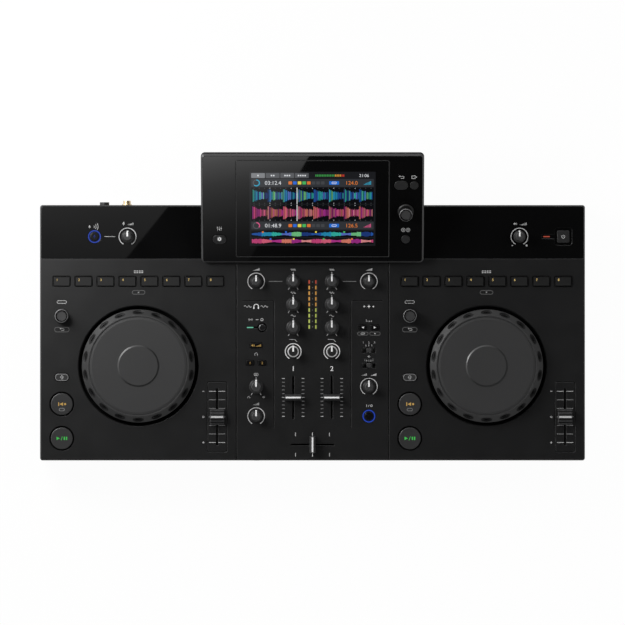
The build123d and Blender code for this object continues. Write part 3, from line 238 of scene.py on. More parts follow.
# Softbox faces: their distance in metres, and as they show in the strip and in the pod, their edges
# and their brightness from the front to the rear
CARD_REACH = 1.2
STRIP_REACH = 1.3
STRIP_EDGE = (-218.5, -169.0)
STRIP_GLOW = ((-0.4, (0.45, 0.4)), (0.0, (0.55, 0.5)), (1.0, (1.15, 0.85)), (1.6, (1.4, 0.95)))
POD_HALF = 67.0
POD_LEFT = -150.0
POD_EDGE = (-76.0, -3.0)
POD_GLOW = (
    (-76.0, 0.02), (-53.0, 0.07), (-25.0, 0.15), (0.0, 0.27),
    (25.0, 0.43), (50.0, 0.76), (80.0, 1.5),
)
POD_FADE = 0.55

# Moulded finishes: colour setting, roughness, grain, depth of its relief, radius to which edges
# look rounded, and shine
MOULDED = {
    "case_matte": ("case", 0.425, 0.35, 0.006, 1.1),
    # Painted shade: near black with almost no sheen, for grooves, wells, recesses, pad sides and
    # selector rings
    "groove": ("groove", 0.8, 0.35, 0.006, 0.1, 0.1),
    "foot_rubber": ("rubber", 0.75, 0.6, 0.02, 0.4),
    "part_black": ("inside", 0.55, 0.4, 0.01, 0.3),
    # Painted light: the slide switches' bodies, pale so that they look lit deep in their windows
    "switch_track": ("track", 0.6, 0.4, 0.01, 0.3),
    "pod_key": ("pod_key", 0.34, 0.3, 0.004, 0.6),
    # Satin edge of the bezel, painted lighter than the gloss as a highlight
    "bezel_edge": ("bezel_edge", 0.4, 0.3, 0.004, 0.5),
    "bezel_side": ("gloss", 0.7, 0.35, 0.006, 0.3, 0.1),
    "selector_floor": ("dish", 0.5, 0.3, 0.006, 0.3),
    # Painted shade on the ring round a selector's dish, and a painted highlight on its edge
    "selector_ring": ("groove", 0.7, 0.3, 0.004, 0.2, 0.03),
    "selector_edge": ("selector_edge", 0.25, 0.3, 0.003, 1.3, 1.0),
    "selector_side": ("selector", 0.34, 0.3, 0.004, 1.0, 0.4),
    # Painted light: the turning knobs' tops are lighter than their skirts, as if lit from above
    "knob_top": ("knob", 0.45, 0.3, 0.006, 0.5),
    "knob_skirt": ("skirt", 0.36, 0.3, 0.005, 0.5),
    "filter_top": ("skirt", 0.5, 0.3, 0.006, 0.5, 0.3),
    "deck_button": ("button", 0.4, 0.3, 0.004, 1.4),
    "button_edge": ("skirt", 0.22, 0.3, 0.003, 1.4),
    "pad_rubber": ("pad", 0.56, 0.5, 0.012, 0.6, 0.4),
    # Painted shade on the pads' sides and in the line printed round each pad
    "pad_edge": ("groove", 0.75, 0.5, 0.01, 0.1, 0.0),
    # Painted shade: the slope round a touch plate's middle is darker than the plate
    "jog_bevel": ("bevel", 0.3, 0.3, 0.004, 0.5),
    "jog_rim": ("rim", 0.46, 0.3, 0.005, 1.2, 0.4),
    # Painted shade: the finger scoops are darker than the rim
    "jog_scoop": ("scoop", 0.55, 0.3, 0.005, 0.3, 0.2),
    "fader_cap": ("fader", 0.5, 0.3, 0.006, 0.5),
    "key_black": ("key", 0.24, 0.3, 0.003, 0.6),
    "pairing_gloss": ("rim", 0.26, 0.3, 0.003, 1.6, 1.0),
    "power_key": ("cap", 0.4, 0.3, 0.004, 0.6),
}


def screen_colour(red, green, blue):
    """A colour given as 0 to 255 on a display, in linear light."""
    shares = [value / 255 for value in (red, green, blue)]
    return tuple(x / 12.92 if x < 0.04 else ((x + 0.055) / 1.055) ** 2.4 for x in shares)


def tone(name, description, colour):
    """A colour setting, in linear light."""
    return FloatVectorProperty(
        name=name, description=description, default=colour, subtype="COLOR", min=0.0, max=1.0
    )


def distance(name, description, millimetres):
    """A length setting, kept in metres."""
    return FloatProperty(
        name=name, description=description, default=millimetres * MM, precision=5, unit="LENGTH"
    )


def amount(name, description, default):
    """A plain number setting."""
    return FloatProperty(name=name, description=description, default=default, precision=3, min=0.0)


class PlayerPlastics(bpy.types.PropertyGroup):
    """Colours of the moulded, rubber and metal pieces."""

    # Painted shade: the near-black colour laid where shade falls, in grooves, jog wells, pad sides
    # and selector rings
    groove: tone("Grooves", "Grooves, wells and other dark recesses", (0.0012, 0.0012, 0.0012))
    # Painted light: the switch bodies are pale so that the shaded slots look lit
    track: tone("Switch track", "Shows beside the caps of the slide switches", (0.22, 0.22, 0.22))
    case: tone("Case", "Matte top case and tray", (0.0064, 0.0064, 0.0066))
    gloss: tone("Gloss", "Polished strip, screen bezel and glass", (0.0032, 0.0032, 0.0033))
    plate: tone("Jog plate", "Touch plates of the jog wheels", (0.0208, 0.0208, 0.0211))
    # Painted shade: the slope round the plate's middle is painted darker than the plate
    bevel: tone("Jog bevel", "Slope round the middle of a touch plate", (0.007, 0.007, 0.0071))
    rim: tone("Jog rim", "Rims of the jog wheels and the pairing button", (0.0085, 0.0085, 0.0087))
    # Painted shade: the scoops are painted darker than the rim
    scoop: tone("Jog scoops", "Finger scoops in the jog wheels' rims", (0.0036, 0.0036, 0.0037))
    selector: tone("Selectors", "Selectors with a dished top", (0.0055, 0.0055, 0.0056))
    # Painted highlight: the selectors' edges are painted bright
    selector_edge: tone("Selector edges", "Bright edges of the selectors", (0.12, 0.12, 0.122))
    dish: tone("Selector tops", "Floor of the dish in a selector", (0.032, 0.032, 0.0325))
    # Painted light: the knob tops are painted lighter than the skirts, where light falls on them
    knob: tone("Knob tops", "Flat tops of the turning knobs", (0.031, 0.031, 0.0315))
    skirt: tone("Knob skirts", "Knob skirts, edges of the deck buttons", (0.011, 0.011, 0.0112))
    cap: tone("Tempo caps", "Caps of the tempo sliders, power button", (0.015, 0.015, 0.0154))
    fader: tone("Fader caps", "Caps of the faders and slide switches", (0.025, 0.025, 0.0254))
    pod_key: tone("Pod keys", "Buttons of the screen pod", (0.015, 0.015, 0.0153))
    # Painted highlight: the bezel's satin edge is painted lighter than the gloss
    bezel_edge: tone("Bezel edge", "Satin edge round the screen bezel", (0.030, 0.030, 0.0305))
    key: tone("Keys", "Small keys and round buttons", (0.0042, 0.0042, 0.0043))
    button: tone("Deck buttons", "Large round buttons of the decks", (0.0265, 0.0265, 0.0269))
    pad: tone("Pads", "Rubber performance pads", (0.0046, 0.0046, 0.0046))
    inside: tone("Inner parts", "Potentiometers, switches and socket bodies", (0.006, 0.006, 0.006))
    rubber: tone("Feet", "Rubber feet", (0.012, 0.012, 0.012))
    board: tone("Boards", "Circuit boards", (0.004, 0.03, 0.012))
    gold: tone("Gold", "Gilt sleeves of the sockets", (0.78, 0.62, 0.38))
    steel: tone("Steel", "Screws, shells and bushes", (0.42, 0.42, 0.43))


class PlayerMarks(bpy.types.PropertyGroup):
    """Printed inks and lamps."""

    white: tone("White ink", "Pointers, filter dials and numerals", (0.82, 0.82, 0.82))
    pale: tone("Pale ink", "Thin dials and the rings on the filter knobs", (0.54, 0.54, 0.54))
    grey: tone("Grey ink", "Labels and link lines", (0.42, 0.42, 0.42))
    dim: tone("Dim ink", "Scale ticks", (0.19, 0.19, 0.19))
    outline: tone("Outline ink", "Pill outlines", (0.11, 0.11, 0.11))
    faint: tone("Faint ink", "Line round the glass", (0.028, 0.028, 0.028))
    red: tone("Red lamp", "Top of the meter and power lamp", screen_colour(172, 78, 62))
    amber: tone("Amber lamp", "Middle part of the meter", screen_colour(200, 150, 80))
    sand: tone("Sand lamp", "Symbols of the cue buttons and keys", screen_colour(188, 152, 86))
    straw: tone("Straw lamp", "Figures of the pads", screen_colour(236, 204, 128))
    lime: tone("Lime lamp", "Low part of the meter", screen_colour(176, 190, 98))
    teal: tone("Teal lamp", "Pairing lamp", screen_colour(110, 196, 164))
    blue: tone("Blue lamp", "Lit rings", screen_colour(50, 80, 196))
    navy: tone("Navy lamp", "Weak symbol of the microphone button", screen_colour(30, 44, 116))
    green: tone("Green lamp", "Play symbols", screen_colour(70, 186, 84))
    rise: distance("Ink rise", "How far the ink stands above its surface", 0.05)


class PlayerStudio(bpy.types.PropertyGroup):
    """Light and camera."""

    key: amount("Key light", "Power of the light at the upper left, in watts", 1.95)
    edge: amount("Edge light", "Power of the low light at the upper left, in watts", 11.0)
    fill: amount("Fill light", "Power of the light at the right, in watts", 6.4)
    front: amount("Front light", "Power of the light in front, in watts", 5.2)
    horizon: amount("Horizon", "Brightness of the studio's pale walls", 1.0)
    gleam: amount("Gleam", "Brightness of the wall at the upper left in shiny edges", 3.0)
    card: amount("Softbox", "Brightness of the softbox over the polished strip", 0.42)
    pod_card: amount("Pod softbox", "Brightness of the softbox that shows in the pod", 1.9)
    height: distance("Camera height", "Height of the camera above the floor", 7500.0)
    lens: amount("Lens", "Focal length of the camera, in millimetres", 366.0)


class Value:
    """A number on a shader socket. Arithmetic on it adds Math nodes to its tree."""

    def __init__(self, finish, socket):
        self.finish = finish
        self.socket = socket

    def maths(self, operation, first, second=0.0):
        return self.finish.node("ShaderNodeMath", {"operation": operation}, {0: first, 1: second})

    def __add__(self, other):
        return self.maths("ADD", self, other)

    def __radd__(self, other):
        return self.maths("ADD", other, self)

    def __sub__(self, other):
        return self.maths("SUBTRACT", self, other)

    def __rsub__(self, other):
        return self.maths("SUBTRACT", other, self)

    def __mul__(self, other):
        return self.maths("MULTIPLY", self, other)

    def __rmul__(self, other):
        return self.maths("MULTIPLY", other, self)

    def __pow__(self, other):
        return self.maths("POWER", self, other)

    def __abs__(self):
        return self.maths("ABSOLUTE", self)

    def sine(self):
        return self.maths("SINE", self)

    def fraction(self):
        return self.maths("FRACT", self)

    def least(self, other):
        return self.maths("MINIMUM", self, other)

    def limited(self):
        """The same number held between 0 and 1."""
        return self.maths("MAXIMUM", self.least(1.0), 0.0)


class Finish:
    """The shader tree of a material or of the world."""

    def __init__(self, owner):
        owner.use_nodes = True
        self.tree = owner.node_tree
        self.tree.nodes.clear()
        self.coordinates = None

    def node(self, kind, settings, inputs, output=0):
        """Adds a node: its settings first, then the values or links of its sockets."""
        made = self.tree.nodes.new(kind)
        for name, setting in settings.items():
            if name == "stops":
                set_stops(made.color_ramp, setting)
            else:
                setattr(made, name, setting)
        for name, value in inputs.items():
            if isinstance(value, Value):
                self.tree.links.new(value.socket, made.inputs[name])
            else:
                made.inputs[name].default_value = value
        return Value(self, made.outputs[output]) if made.outputs else None

    @property
    def place(self):
        """The place on the piece at rest, in metres."""
        if not self.coordinates:
            self.coordinates = self.node("ShaderNodeTexCoord", {}, {}, "Object")
        return self.coordinates

    def axis(self, letter, place=None):
        """One coordinate of the place on the piece, or of another vector."""
        return self.node("ShaderNodeSeparateXYZ", {}, {"Vector": place or self.place}, letter)

    def noise(self, size, detail=2.0):
        """Soft random patches of about this size, from 0 to 1."""
        sockets = {"Vector": self.place, "Scale": 1 / (size * MM), "Detail": detail}
        return self.node("ShaderNodeTexNoise", {}, sockets)

    def ramp(self, share, stops):
        """A share turned into a brightness by stops of position and level."""
        return self.axis("X", self.node("ShaderNodeValToRGB", {"stops": stops}, {"Fac": share}))

    def blend(self, share, first, second):
        """A colour between two colours."""
        sockets = {0: share, 6: first, 7: second}
        return self.node("ShaderNodeMix", {"data_type": "RGBA"}, sockets, 2)

    def shades(self, share, colour, dark, light):
        """A colour between a darker and a lighter shade of one colour."""
        return self.blend(share, rgba(colour, dark), rgba(colour, light))

    def bump(self, height, depth, edge):
        """A normal for relief of this depth, with edges that look rounded to this radius."""
        soft = self.node("ShaderNodeBevel", {"samples": 6}, {"Radius": edge * MM})
        sockets = {"Height": height, "Distance": depth * MM, "Normal": soft}
        return self.node("ShaderNodeBump", {}, sockets)

    def near(self, centre):
        """The distance from an upright line through a point, in metres."""
        squares = [(self.axis(letter) - value) ** 2.0 for letter, value in zip("XY", centre)]
        return (squares[0] + squares[1]) ** 0.5

    def surface(self, inputs):
        """Ends the tree with a Principled shader."""
        shader = self.node("ShaderNodeBsdfPrincipled", {}, inputs)
        self.node("ShaderNodeOutputMaterial", {}, {"Surface": shader})


def set_stops(ramp, stops):
    """Gives a colour ramp its stops, each a position and a grey level."""
    while len(ramp.elements) < len(stops):
        ramp.elements.new(1.0)
    for element, (position, level) in zip(ramp.elements, stops):
        element.position = position
        element.color = rgba((level,) * 3)


def rgba(colour, factor=1.0):
    """A colour with full alpha, made lighter or darker by a factor."""
    return (*(channel * factor for channel in colour), 1.0)


def plastics():
    """The settings of the pieces' colours."""
    return bpy.context.scene.player_plastics


def marks():
    """The settings of the inks and lamps."""
    return bpy.context.scene.player_marks


def studio():
    """The settings of the light and the camera."""
    return bpy.context.scene.player_studio


MADE = {}


def material(name, recipe, *values):
    """The material of this name, made by its recipe the first time."""
    if name not in MADE:
        MADE[name] = bpy.data.materials.new(f"player_{name}")
        recipe(Finish(MADE[name]), *values)
    return MADE[name]


def moulded(finish, colour, rough, grain, depth, edge, shine=0.5):
    """Moulded plastic or rubber: fine grain in relief, and soft patches of tone and sheen."""
    fine = finish.noise(grain, 3.0)
    patch = finish.noise(22.0)
    speck = finish.noise(grain * 3.0, 1.0)
    finish.surface({
        "Base Color": finish.shades(patch * 0.6 + speck * 0.4, colour, 0.86, 1.14),
        "Roughness": rough - 0.06 + patch * 0.08 + fine * 0.05,
        "Specular IOR Level": shine,
        "Normal": finish.bump(fine, depth, edge),
    })


def polished(finish, colour):
    """Polished acrylic or glass, with a trace of unevenness and a few wipe marks."""
    ripple = finish.noise(60.0)
    haze = finish.noise(9.0, 5.0)
    finish.surface({
        "Base Color": finish.shades(ripple, colour, 0.8, 1.2),
        "Roughness": 0.008 + haze * 0.02,
        "Normal": finish.bump(ripple, 0.002, 0.8),
    })


def ribbed(finish, colour, middle):
    """A stepped cap whose treads are painted pale and dark by turns, as painted light and shade."""
    fine = finish.noise(0.3, 3.0)
    out = abs(finish.axis("Y") - middle)
    pair = ((CAP_HALF * MM - out) * (0.5 / (CAP_STEP * MM))).fraction()
    # Painted light and shade: pale treads and dark treads by turns
    dark = (pair * 9.0 - 4.0).limited() * 0.95 + fine * 0.05
    finish.surface({
        "Base Color": finish.shades(dark, colour, 2.6, 0.1),
        "Roughness": 0.46 + fine * 0.08,
        "Normal": finish.bump(fine, 0.006, 0.4),
    })


def spun(finish, colour, centre):
    """A touch plate with fine turned lines about the middle of either jog wheel."""
    across = abs(finish.axis("X")) - centre[0]
    along = finish.axis("Y") - centre[1]
    radius = (across * across + along * along) ** 0.5
    lines = (radius * (2 * math.pi / (0.45 * MM))).sine() * 0.5 + 0.5
    fine = finish.noise(0.3, 3.0)
    patch = finish.noise(35.0)
    finish.surface({
        "Base Color": finish.shades(patch * 0.7 + fine * 0.3, colour, 0.92, 1.08),
        "Roughness": 0.56 + patch * 0.06 + lines * 0.04,
        "Normal": finish.bump(lines * 0.5 + fine, 0.003, 0.7),
    })


def ink(finish, colour):
    """Screen-printed ink with a slightly uneven film."""
    film = finish.noise(0.6, 3.0)
    patch = finish.noise(6.0)
    finish.surface({
        "Base Color": finish.shades(film * 0.5 + patch * 0.5, colour, 0.88, 1.1),
        "Roughness": 0.42 + film * 0.16,
        "Normal": finish.bump(film, 0.006, 0.03),
    })


def lamp(finish, colour):
    """A lit symbol of tinted clear plastic, a little uneven over its length."""
    glow(finish, colour, 1.0 - finish.noise(1.6, 2.0) * 0.3)


def window(finish, colour, first, pitch):
    """A meter's lamp, lit in its middle. The right column is weaker than the left."""
    across = abs(abs(finish.axis("X")) - METER_X * MM)
    along = abs(((finish.axis("Y") - first) * (1 / pitch) + 0.5).fraction() - 0.5) * pitch
    fade = 1 / (METER_FADE * MM)
    inner = ((METER_LIT[0] * MM - across) * fade).limited()
    inner = inner * ((METER_LIT[1] * MM - along) * fade).limited()
    left = (finish.axis("X") * (-2 / MM)).limited()
    side = left * (1 - METER_WEAK) + METER_WEAK
    glow(finish, colour, inner * side)


def lit_bar(finish, colour, middle):
    """A lit bar with a bright core along its middle."""
    across = abs(finish.axis("Y") - middle)
    core = ((BAR_CORE * MM - across) * (1 / (BAR_FADE * MM))).limited()
    glow(finish, colour, core * 0.94 + 0.06)


def lit_ring(finish, colour, centres):
    """A lit ring with a bright core."""
    radius = finish.near(centres[0]).least(finish.near(centres[1]))
    inner = (1.0 - abs(radius - RING_CORE[0] * MM) * (1 / (RING_CORE[1] * MM))).limited()
    glow(finish, colour, inner * 0.9 + 0.1)


def glow(finish, colour, share):
    """Ends a lamp's tree: the share of its colour that is lit, over tinted clear plastic."""
    cloud = finish.noise(0.8, 2.0)
    finish.surface({
        "Base Color": rgba(colour, 0.03),
        "Roughness": 0.22 + cloud * 0.1,
        "Emission Color": finish.blend(share * (0.92 + cloud * 0.16), BLACK, rgba(colour)),
        "Emission Strength": 1.0,
    })


def plated(finish, colour, rough):
    """Plated or turned metal with fine scratches."""
    scratch = finish.noise(0.25, 4.0)
    patch = finish.noise(5.0)
    finish.surface({
        "Base Color": finish.shades(patch, colour, 0.85, 1.05),
        "Metallic": 1.0,
        "Roughness": rough + scratch * 0.12,
        "Normal": finish.bump(scratch, 0.004, 0.2),
    })


def circuit(finish, colour):
    """Solder mask over copper tracks."""
    sockets = {"Vector": finish.place, "Scale": 1 / (4.0 * MM)}
    cells = finish.node("ShaderNodeTexVoronoi", {"feature": "DISTANCE_TO_EDGE"}, sockets)
    tracks = finish.ramp(cells, [(0.0, 1.0), (0.06, 1.0), (0.09, 0.0)])
    film = finish.noise(8.0)
    share = tracks * 0.7 + film * 0.3
    finish.surface({
        "Base Color": finish.shades(share, colour, 0.8, 1.9),
        "Roughness": 0.32 + film * 0.12,
        "Normal": finish.bump(share, 0.02, 0.2),
    })


def picture_glass(finish):
    """The lit display under polished glass, coloured by the picture's own faces."""
    pixels = finish.noise(0.5, 2.0)
    shown = finish.node("ShaderNodeAttribute", {"attribute_name": "lit"}, {}, "Color")
    finish.surface({
        "Base Color": BLACK,
        "Roughness": 0.03 + pixels * 0.03,
        "Emission Color": finish.blend(pixels * 0.25, shown, BLACK),
        "Emission Strength": 1.0,
    })


def plastic(name):
    """A moulded finish by its name."""
    colour, *values = MOULDED[name]
    return material(name, moulded, getattr(plastics(), colour), *values)


def gloss_black():
    """The finish of the polished strip, the bezel's face and the glass."""
    return material("gloss_black", polished, plastics().gloss)


def steel():
    """The finish of screws, bushes and socket shells."""
    return material("steel", plated, plastics().steel, 0.28)


def ink_named(name):
    """The material of an ink or lamp, by the name of its setting."""
    recipe = ink if name in INKS else lamp
    return material(f"{recipe.__name__}_{name}", recipe, getattr(marks(), name))


def dress(finish, *nodes):
    """Gives whole nodes one material."""
    for name in nodes:
        mesh = frame["nodes"][name].data
        mesh.materials.clear()
        mesh.materials.append(finish)


def dress_faces(node, parts, choose):
    """Gives one node several materials: choose names the part of a face from its middle."""
    mesh = frame["nodes"][node].data
    mesh.materials.clear()
    order = list(parts)
    for name in order:
        mesh.materials.append(parts[name])
    for face in mesh.polygons:
        face.material_index = order.index(choose(face.center / MM))


BOXES = {}


def box_of(node):
    """The corners of a node's box in metres, worked out once."""
    if node not in BOXES:
        BOXES[node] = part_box(node)
    return BOXES[node]


def dress_selector(node):
    """A selector's finishes: the pale floor of its dish, a ring round it painted near black as
    shade, and an edge painted bright as a highlight.
    """
    start, axis = turn_of(node)
    vertices = frame["nodes"][node].data.vertices
    top = max((vertex.co - start).dot(axis) for vertex in vertices) / MM

    def choose(place):
        offset = place - start / MM
        height = offset.dot(axis)
        radius = (offset - axis * height).length
        if height < top - DISH_DEEP:
            return "side"
        return "floor" if radius < DISH_FLOOR_R else "ring" if radius < DISH_RING_R else "edge"

    parts = {part: plastic(f"selector_{part}") for part in ("floor", "ring", "edge", "side")}
    dress_faces(node, parts, choose)


def dress_top(node, drop, top, side):
    """Gives a node one moulded finish on its top, and another from this far below it."""
    least = top_of(node) - drop
    parts = {"top": plastic(top), "side": plastic(side)}
    dress_faces(node, parts, lambda place: "top" if place.z > least else "side")


def dress_bezel():
    """The screen bezel's finishes: a polished face, a satin edge painted lighter as a highlight,
    and dull sides.
    """
    parts = {"face": gloss_black(), "edge": plastic("bezel_edge"), "side": plastic("bezel_side")}
    back = pod_plane().inverted()

    def choose(place):
        depth = -(back @ (place * MM)).z
        return "face" if depth < BEZEL_EDGE[0] else "edge" if depth < BEZEL_EDGE[1] else "side"

    dress_faces("screen_bezel", parts, choose)


def turn_of(node):
    """A point on the axis that a node turns about, in metres, and the axis's direction."""
    turn = next(joint for joint in frame["joints"] if joint["name"] == f"{node}_turn")
    return Vector(turn["pos_m"]), Vector(turn["axis"])


def spot(node):
    """The middle of a node on the top plate, in millimetres."""
    low, high = box_of(node)
    return Vector(((low.x + high.x) / 2, (low.y + high.y) / 2)) / MM


def top_of(node):
    """The height of a node's highest point, in millimetres."""
    return box_of(node)[1].z / MM


def flat(height):
    """A level plane at this height, whose own places are those of the whole object."""
    return Matrix.Translation((0, 0, height * MM)) @ Matrix.Scale(MM, 4)


def upright(origin, right, up):
    """A plane through a point, by the directions that are right and up on it."""
    right = Vector(right)
    up = Vector(up)
    axes = Matrix((right, up, right.cross(up))).transposed().to_4x4()
    return Matrix.Translation(origin) @ axes @ Matrix.Scale(MM, 4)


def pod_plane():
    """The plane of the screen pod's face, from the browse knob's axis and the glass's edges."""
    start, normal = turn_of("browse_knob")
    start.x = 0.0
    up = Vector((0, normal.z, -normal.y))
    low, high = box_of("touch_screen")
    near = (low.y - start.y) / up.y
    far = (high.z - start.z) / up.z
    return upright(start + up * (near + far) / 2, (1, 0, 0), up)


def on_pod(plane, node):
    """The place of a pod button on the pod's face."""
    low, high = box_of(node)
    return (plane.inverted() @ ((low + high) / 2)).xy


def turned(x, y, radius, turn):
    """A point on a circle, by its turn in degrees from the top, clockwise."""
    angle = math.radians(turn)
    return Vector((x + radius * math.sin(angle), y + radius * math.cos(angle)))


def sweep(x, y, radius, start, end):
    """Points along part of a circle."""
    steps = max(2, math.ceil(abs(end - start) / ARC_STEP))
    return [turned(x, y, radius, start + (end - start) * step / steps) for step in range(steps + 1)]


def pill(x, y, width, depth):
    """The outline of a rectangle with round ends."""
    radius = depth / 2
    reach = width / 2 - radius
    return sweep(x + reach, y, radius, 0, 180) + sweep(x - reach, y, radius, 180, 360)


def rounded(x, y, width, depth, radius):
    """The outline of a rectangle with round corners."""
    across = width / 2 - radius
    along = depth / 2 - radius
    corners = ((across, along), (across, -along), (-across, -along), (-across, along))
    outline = []
    for quarter, (right, up) in enumerate(corners):
        outline += sweep(x + right, y + up, radius, quarter * 90, quarter * 90 + 90)
    return outline


def rails(points, width, closed):
    """The two edges of a stroke along these points, with mitred corners."""
    points = [Vector(point) for point in points]
    left = []
    right = []
    for index, here in enumerate(points):
        before = points[index - 1] if index or closed else None
        after = points[(index + 1) % len(points)] if index + 1 < len(points) or closed else None
        pairs = [pair for pair in ((before, here), (here, after)) if None not in pair]
        runs = [(end - start).normalized() for start, end in pairs]
        along = sum(runs, Vector((0, 0))).normalized()
        across = Vector((-along.y, along.x))
        square = across.dot(Vector((-runs[0].y, runs[0].x)))
        reach = width / 2 / max(MITRE_LEAST, square)
        left.append(here + across * reach)
        right.append(here - across * reach)
    return left, right


class Print:
    """Thin closed shapes on one plane, in millimetres of that plane, gathered into one mesh."""

    def __init__(self, plane, inks):
        self.plane = plane
        self.inks = list(inks)
        self.current = 0
        self.low = -INK_SINK
        self.high = marks().rise / MM
        self.mesh = bmesh.new()
        self.lit = self.mesh.loops.layers.float_color.new("lit")
        self.colour = BLACK

    def use(self, name):
        """Takes up another of the inks."""
        self.current = self.inks.index(name)
        return self

    def point(self, place, height):
        return self.mesh.verts.new(self.plane @ Vector((place[0], place[1], height)))

    def face(self, corners):
        made = self.mesh.faces.new(corners)
        made.material_index = self.current
        for loop in made.loops:
            loop[self.lit] = self.colour

    def fill(self, outline):
        """A filled outline."""
        base = [self.point(place, self.low) for place in outline]
        top = [self.point(place, self.high) for place in outline]
        self.face(top)
        self.face(list(reversed(base)))
        for index, corner in enumerate(base):
            self.face((base[index - 1], corner, top[index], top[index - 1]))

    def strip(self, left, right, closed):
        """A band between two rows of points."""
        levels = (self.low, self.high)
        rows = []
        for pair in zip(left, right):
            rows.append([self.point(place, height) for place in pair for height in levels])
        for start, end in zip(rows, rows[1:] + rows[:1] if closed else rows[1:]):
            self.face((start[1], end[1], end[3], start[3]))
            self.face((start[0], start[2], end[2], end[0]))
            self.face((start[0], end[0], end[1], start[1]))
            self.face((start[2], start[3], end[3], end[2]))
        if not closed:
            for low_left, high_left, low_right, high_right in (rows[0], rows[-1]):
                self.face((low_left, high_left, high_right, low_right))

    def line(self, points, width=STROKE):
        self.strip(*rails(points, width, False), False)

    def loop(self, outline, width=STROKE):
        """A line round a closed outline, whose first and last points may be the same."""
        points = [Vector(point) for point in outline]
        pairs = zip(points[-1:] + points[:-1], points)
        kept = [point for last, point in pairs if (point - last).length > MM]
        self.strip(*rails(kept, width, True), True)

    def arc(self, x, y, radius, start, end, width=STROKE):
        self.line(sweep(x, y, radius, start, end), width)

    def ring(self, x, y, radius, width=STROKE):
        self.loop(sweep(x, y, radius, 0, 360), width)

    def disc(self, x, y, radius):
        self.fill(sweep(x, y, radius, 0, 360)[:-1])

    def box(self, x, y, width, depth):
        left, right = x - width / 2, x + width / 2
        low, high = y - depth / 2, y + depth / 2
        self.fill(((left, low), (right, low), (right, high), (left, high)))

    def digits(self, x, y, height, text):
        """Plain figures centred on a point."""
        curve = bpy.data.curves.new("figures", "FONT")
        curve.body = text
        curve.extrude = 0.5
        curve.resolution_u = FIGURE_STEPS
        carrier = bpy.data.objects.new("figures", curve)
        shape = bpy.data.meshes.new_from_object(carrier)
        places = [vertex.co.copy() for vertex in shape.vertices]
        low = Vector(min(place[i] for place in places) for i in range(2))
        high = Vector(max(place[i] for place in places) for i in range(2))
        scale = height / (high.y - low.y)
        middle = (low + high) / 2
        corners = []
        for place in places:
            level = self.high if place.z > 0 else self.low
            across = (place.x - middle.x) * scale + x
            along = (place.y - middle.y) * scale + y
            corners.append(self.point((across, along), level))
        for polygon in shape.polygons:
            self.face([corners[index] for index in polygon.vertices])
        bmesh.ops.remove_doubles(self.mesh, verts=corners, dist=MM * MM)
        bpy.data.objects.remove(carrier)
        bpy.data.curves.remove(curve)
        bpy.data.meshes.remove(shape)

    def make(self, name, body, slot=None, finishes=None):
        """Ends the print as one piece that rides on a body."""
        ride(name, self.mesh, body, finishes or [ink_named(shade) for shade in self.inks])


def print_on(node, *inks):
    """A print on top of a node."""
    return Print(flat(top_of(node)), inks)


def linked(name, data):
    """A new object in the scene."""
    made = bpy.data.objects.new(name, data)
    bpy.context.scene.collection.objects.link(made)
    return made


def finished(name, shape, finishes):
    """A new object in the scene from a mesh under construction, with its materials."""
    mesh = bpy.data.meshes.new(name)
    shape.to_mesh(mesh)
    shape.free()
    for finish in finishes:
        mesh.materials.append(finish)
    return linked(name, mesh)


def ride(name, shape, body, finishes):
    """Ends a closed shape as one piece that rides on a body."""
    bmesh.ops.recalc_face_normals(shape, faces=shape.faces)
    piece = finished(name, shape, finishes)
    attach(piece, body)


# Pictograms


def waves(p, x, y, width, height, periods):
    """A tone, as a wave with this many periods."""
    steps = periods * 12
    points = []
    for step in range(steps + 1):
        share = step / steps
        rise = height / 2 * math.sin(2 * math.pi * periods * share)
        points.append((x + width * (share - 0.5), y + rise))
    p.line(points, THIN)


def wedge(p, x, y, width, height):
    """A level that rises to the right."""
    low, right = y - height / 2, x + width / 2
    p.fill(((x - width / 2, low), (right, low), (right, y + height / 2)))


def bars(p, x, y, width, height, count):
    """A row of rising bars."""
    pitch = width / count
    for index in range(count):
        tall = height * (index + 1) / count
        p.box(x - width / 2 + pitch * (index + 0.5), y - height / 2 + tall / 2, pitch * 0.55, tall)


def arrow(p, x, y, width, height):
    """A solid arrowhead that points right, or left where the width is negative."""
    p.fill(((x - width / 2, y - height / 2), (x + width / 2, y), (x - width / 2, y + height / 2)))


def headphones(p, x, y, size):
    """A pair of headphones."""
    radius = size * 0.42
    low = y - size * 0.24
    p.arc(x, y, radius, -95, 95, size * 0.12)
    for side in BOTH:
        p.fill(rounded(x + side * radius, low, size * 0.22, size * 0.4, size * 0.08)[:-1])


def speaker(p, x, y, size):
    """A loudspeaker with two waves."""
    back = x - size * 0.5
    half = size * 0.18
    cone = ((back, y - half), (back + size * 0.22, y - half), (back + size * 0.5, y - size * 0.45))
    p.fill(cone + tuple((px, 2 * y - py) for px, py in reversed(cone)))
    for radius in (0.28, 0.5):
        p.arc(x - size * 0.02, y, size * radius, 45, 135, size * 0.11)


def microphone(p, x, y, size):
    """A microphone on its stand."""
    p.fill(rounded(x, y + size * 0.2, size * 0.3, size * 0.58, size * 0.14)[:-1])
    p.arc(x, y + size * 0.1, size * 0.29, 90, 270, size * 0.1)
    p.line(((x, y - size * 0.24), (x, y - size * 0.5)), size * 0.1)


def signal(p, x, y, size):
    """A dot with waves on both sides."""
    p.disc(x, y, size * 0.13)
    for radius in (0.32, 0.54):
        p.arc(x, y, size * radius, 45, 135, size * 0.1)
        p.arc(x, y, size * radius, 225, 315, size * 0.1)


def gear(p, x, y, size):
    """A toothed wheel."""
    p.ring(x, y, size * 0.3, size * 0.18)
    for tooth in range(8):
        turn = tooth * 45
        p.line((turned(x, y, size * 0.4, turn), turned(x, y, size * 0.54, turn)), size * 0.16)


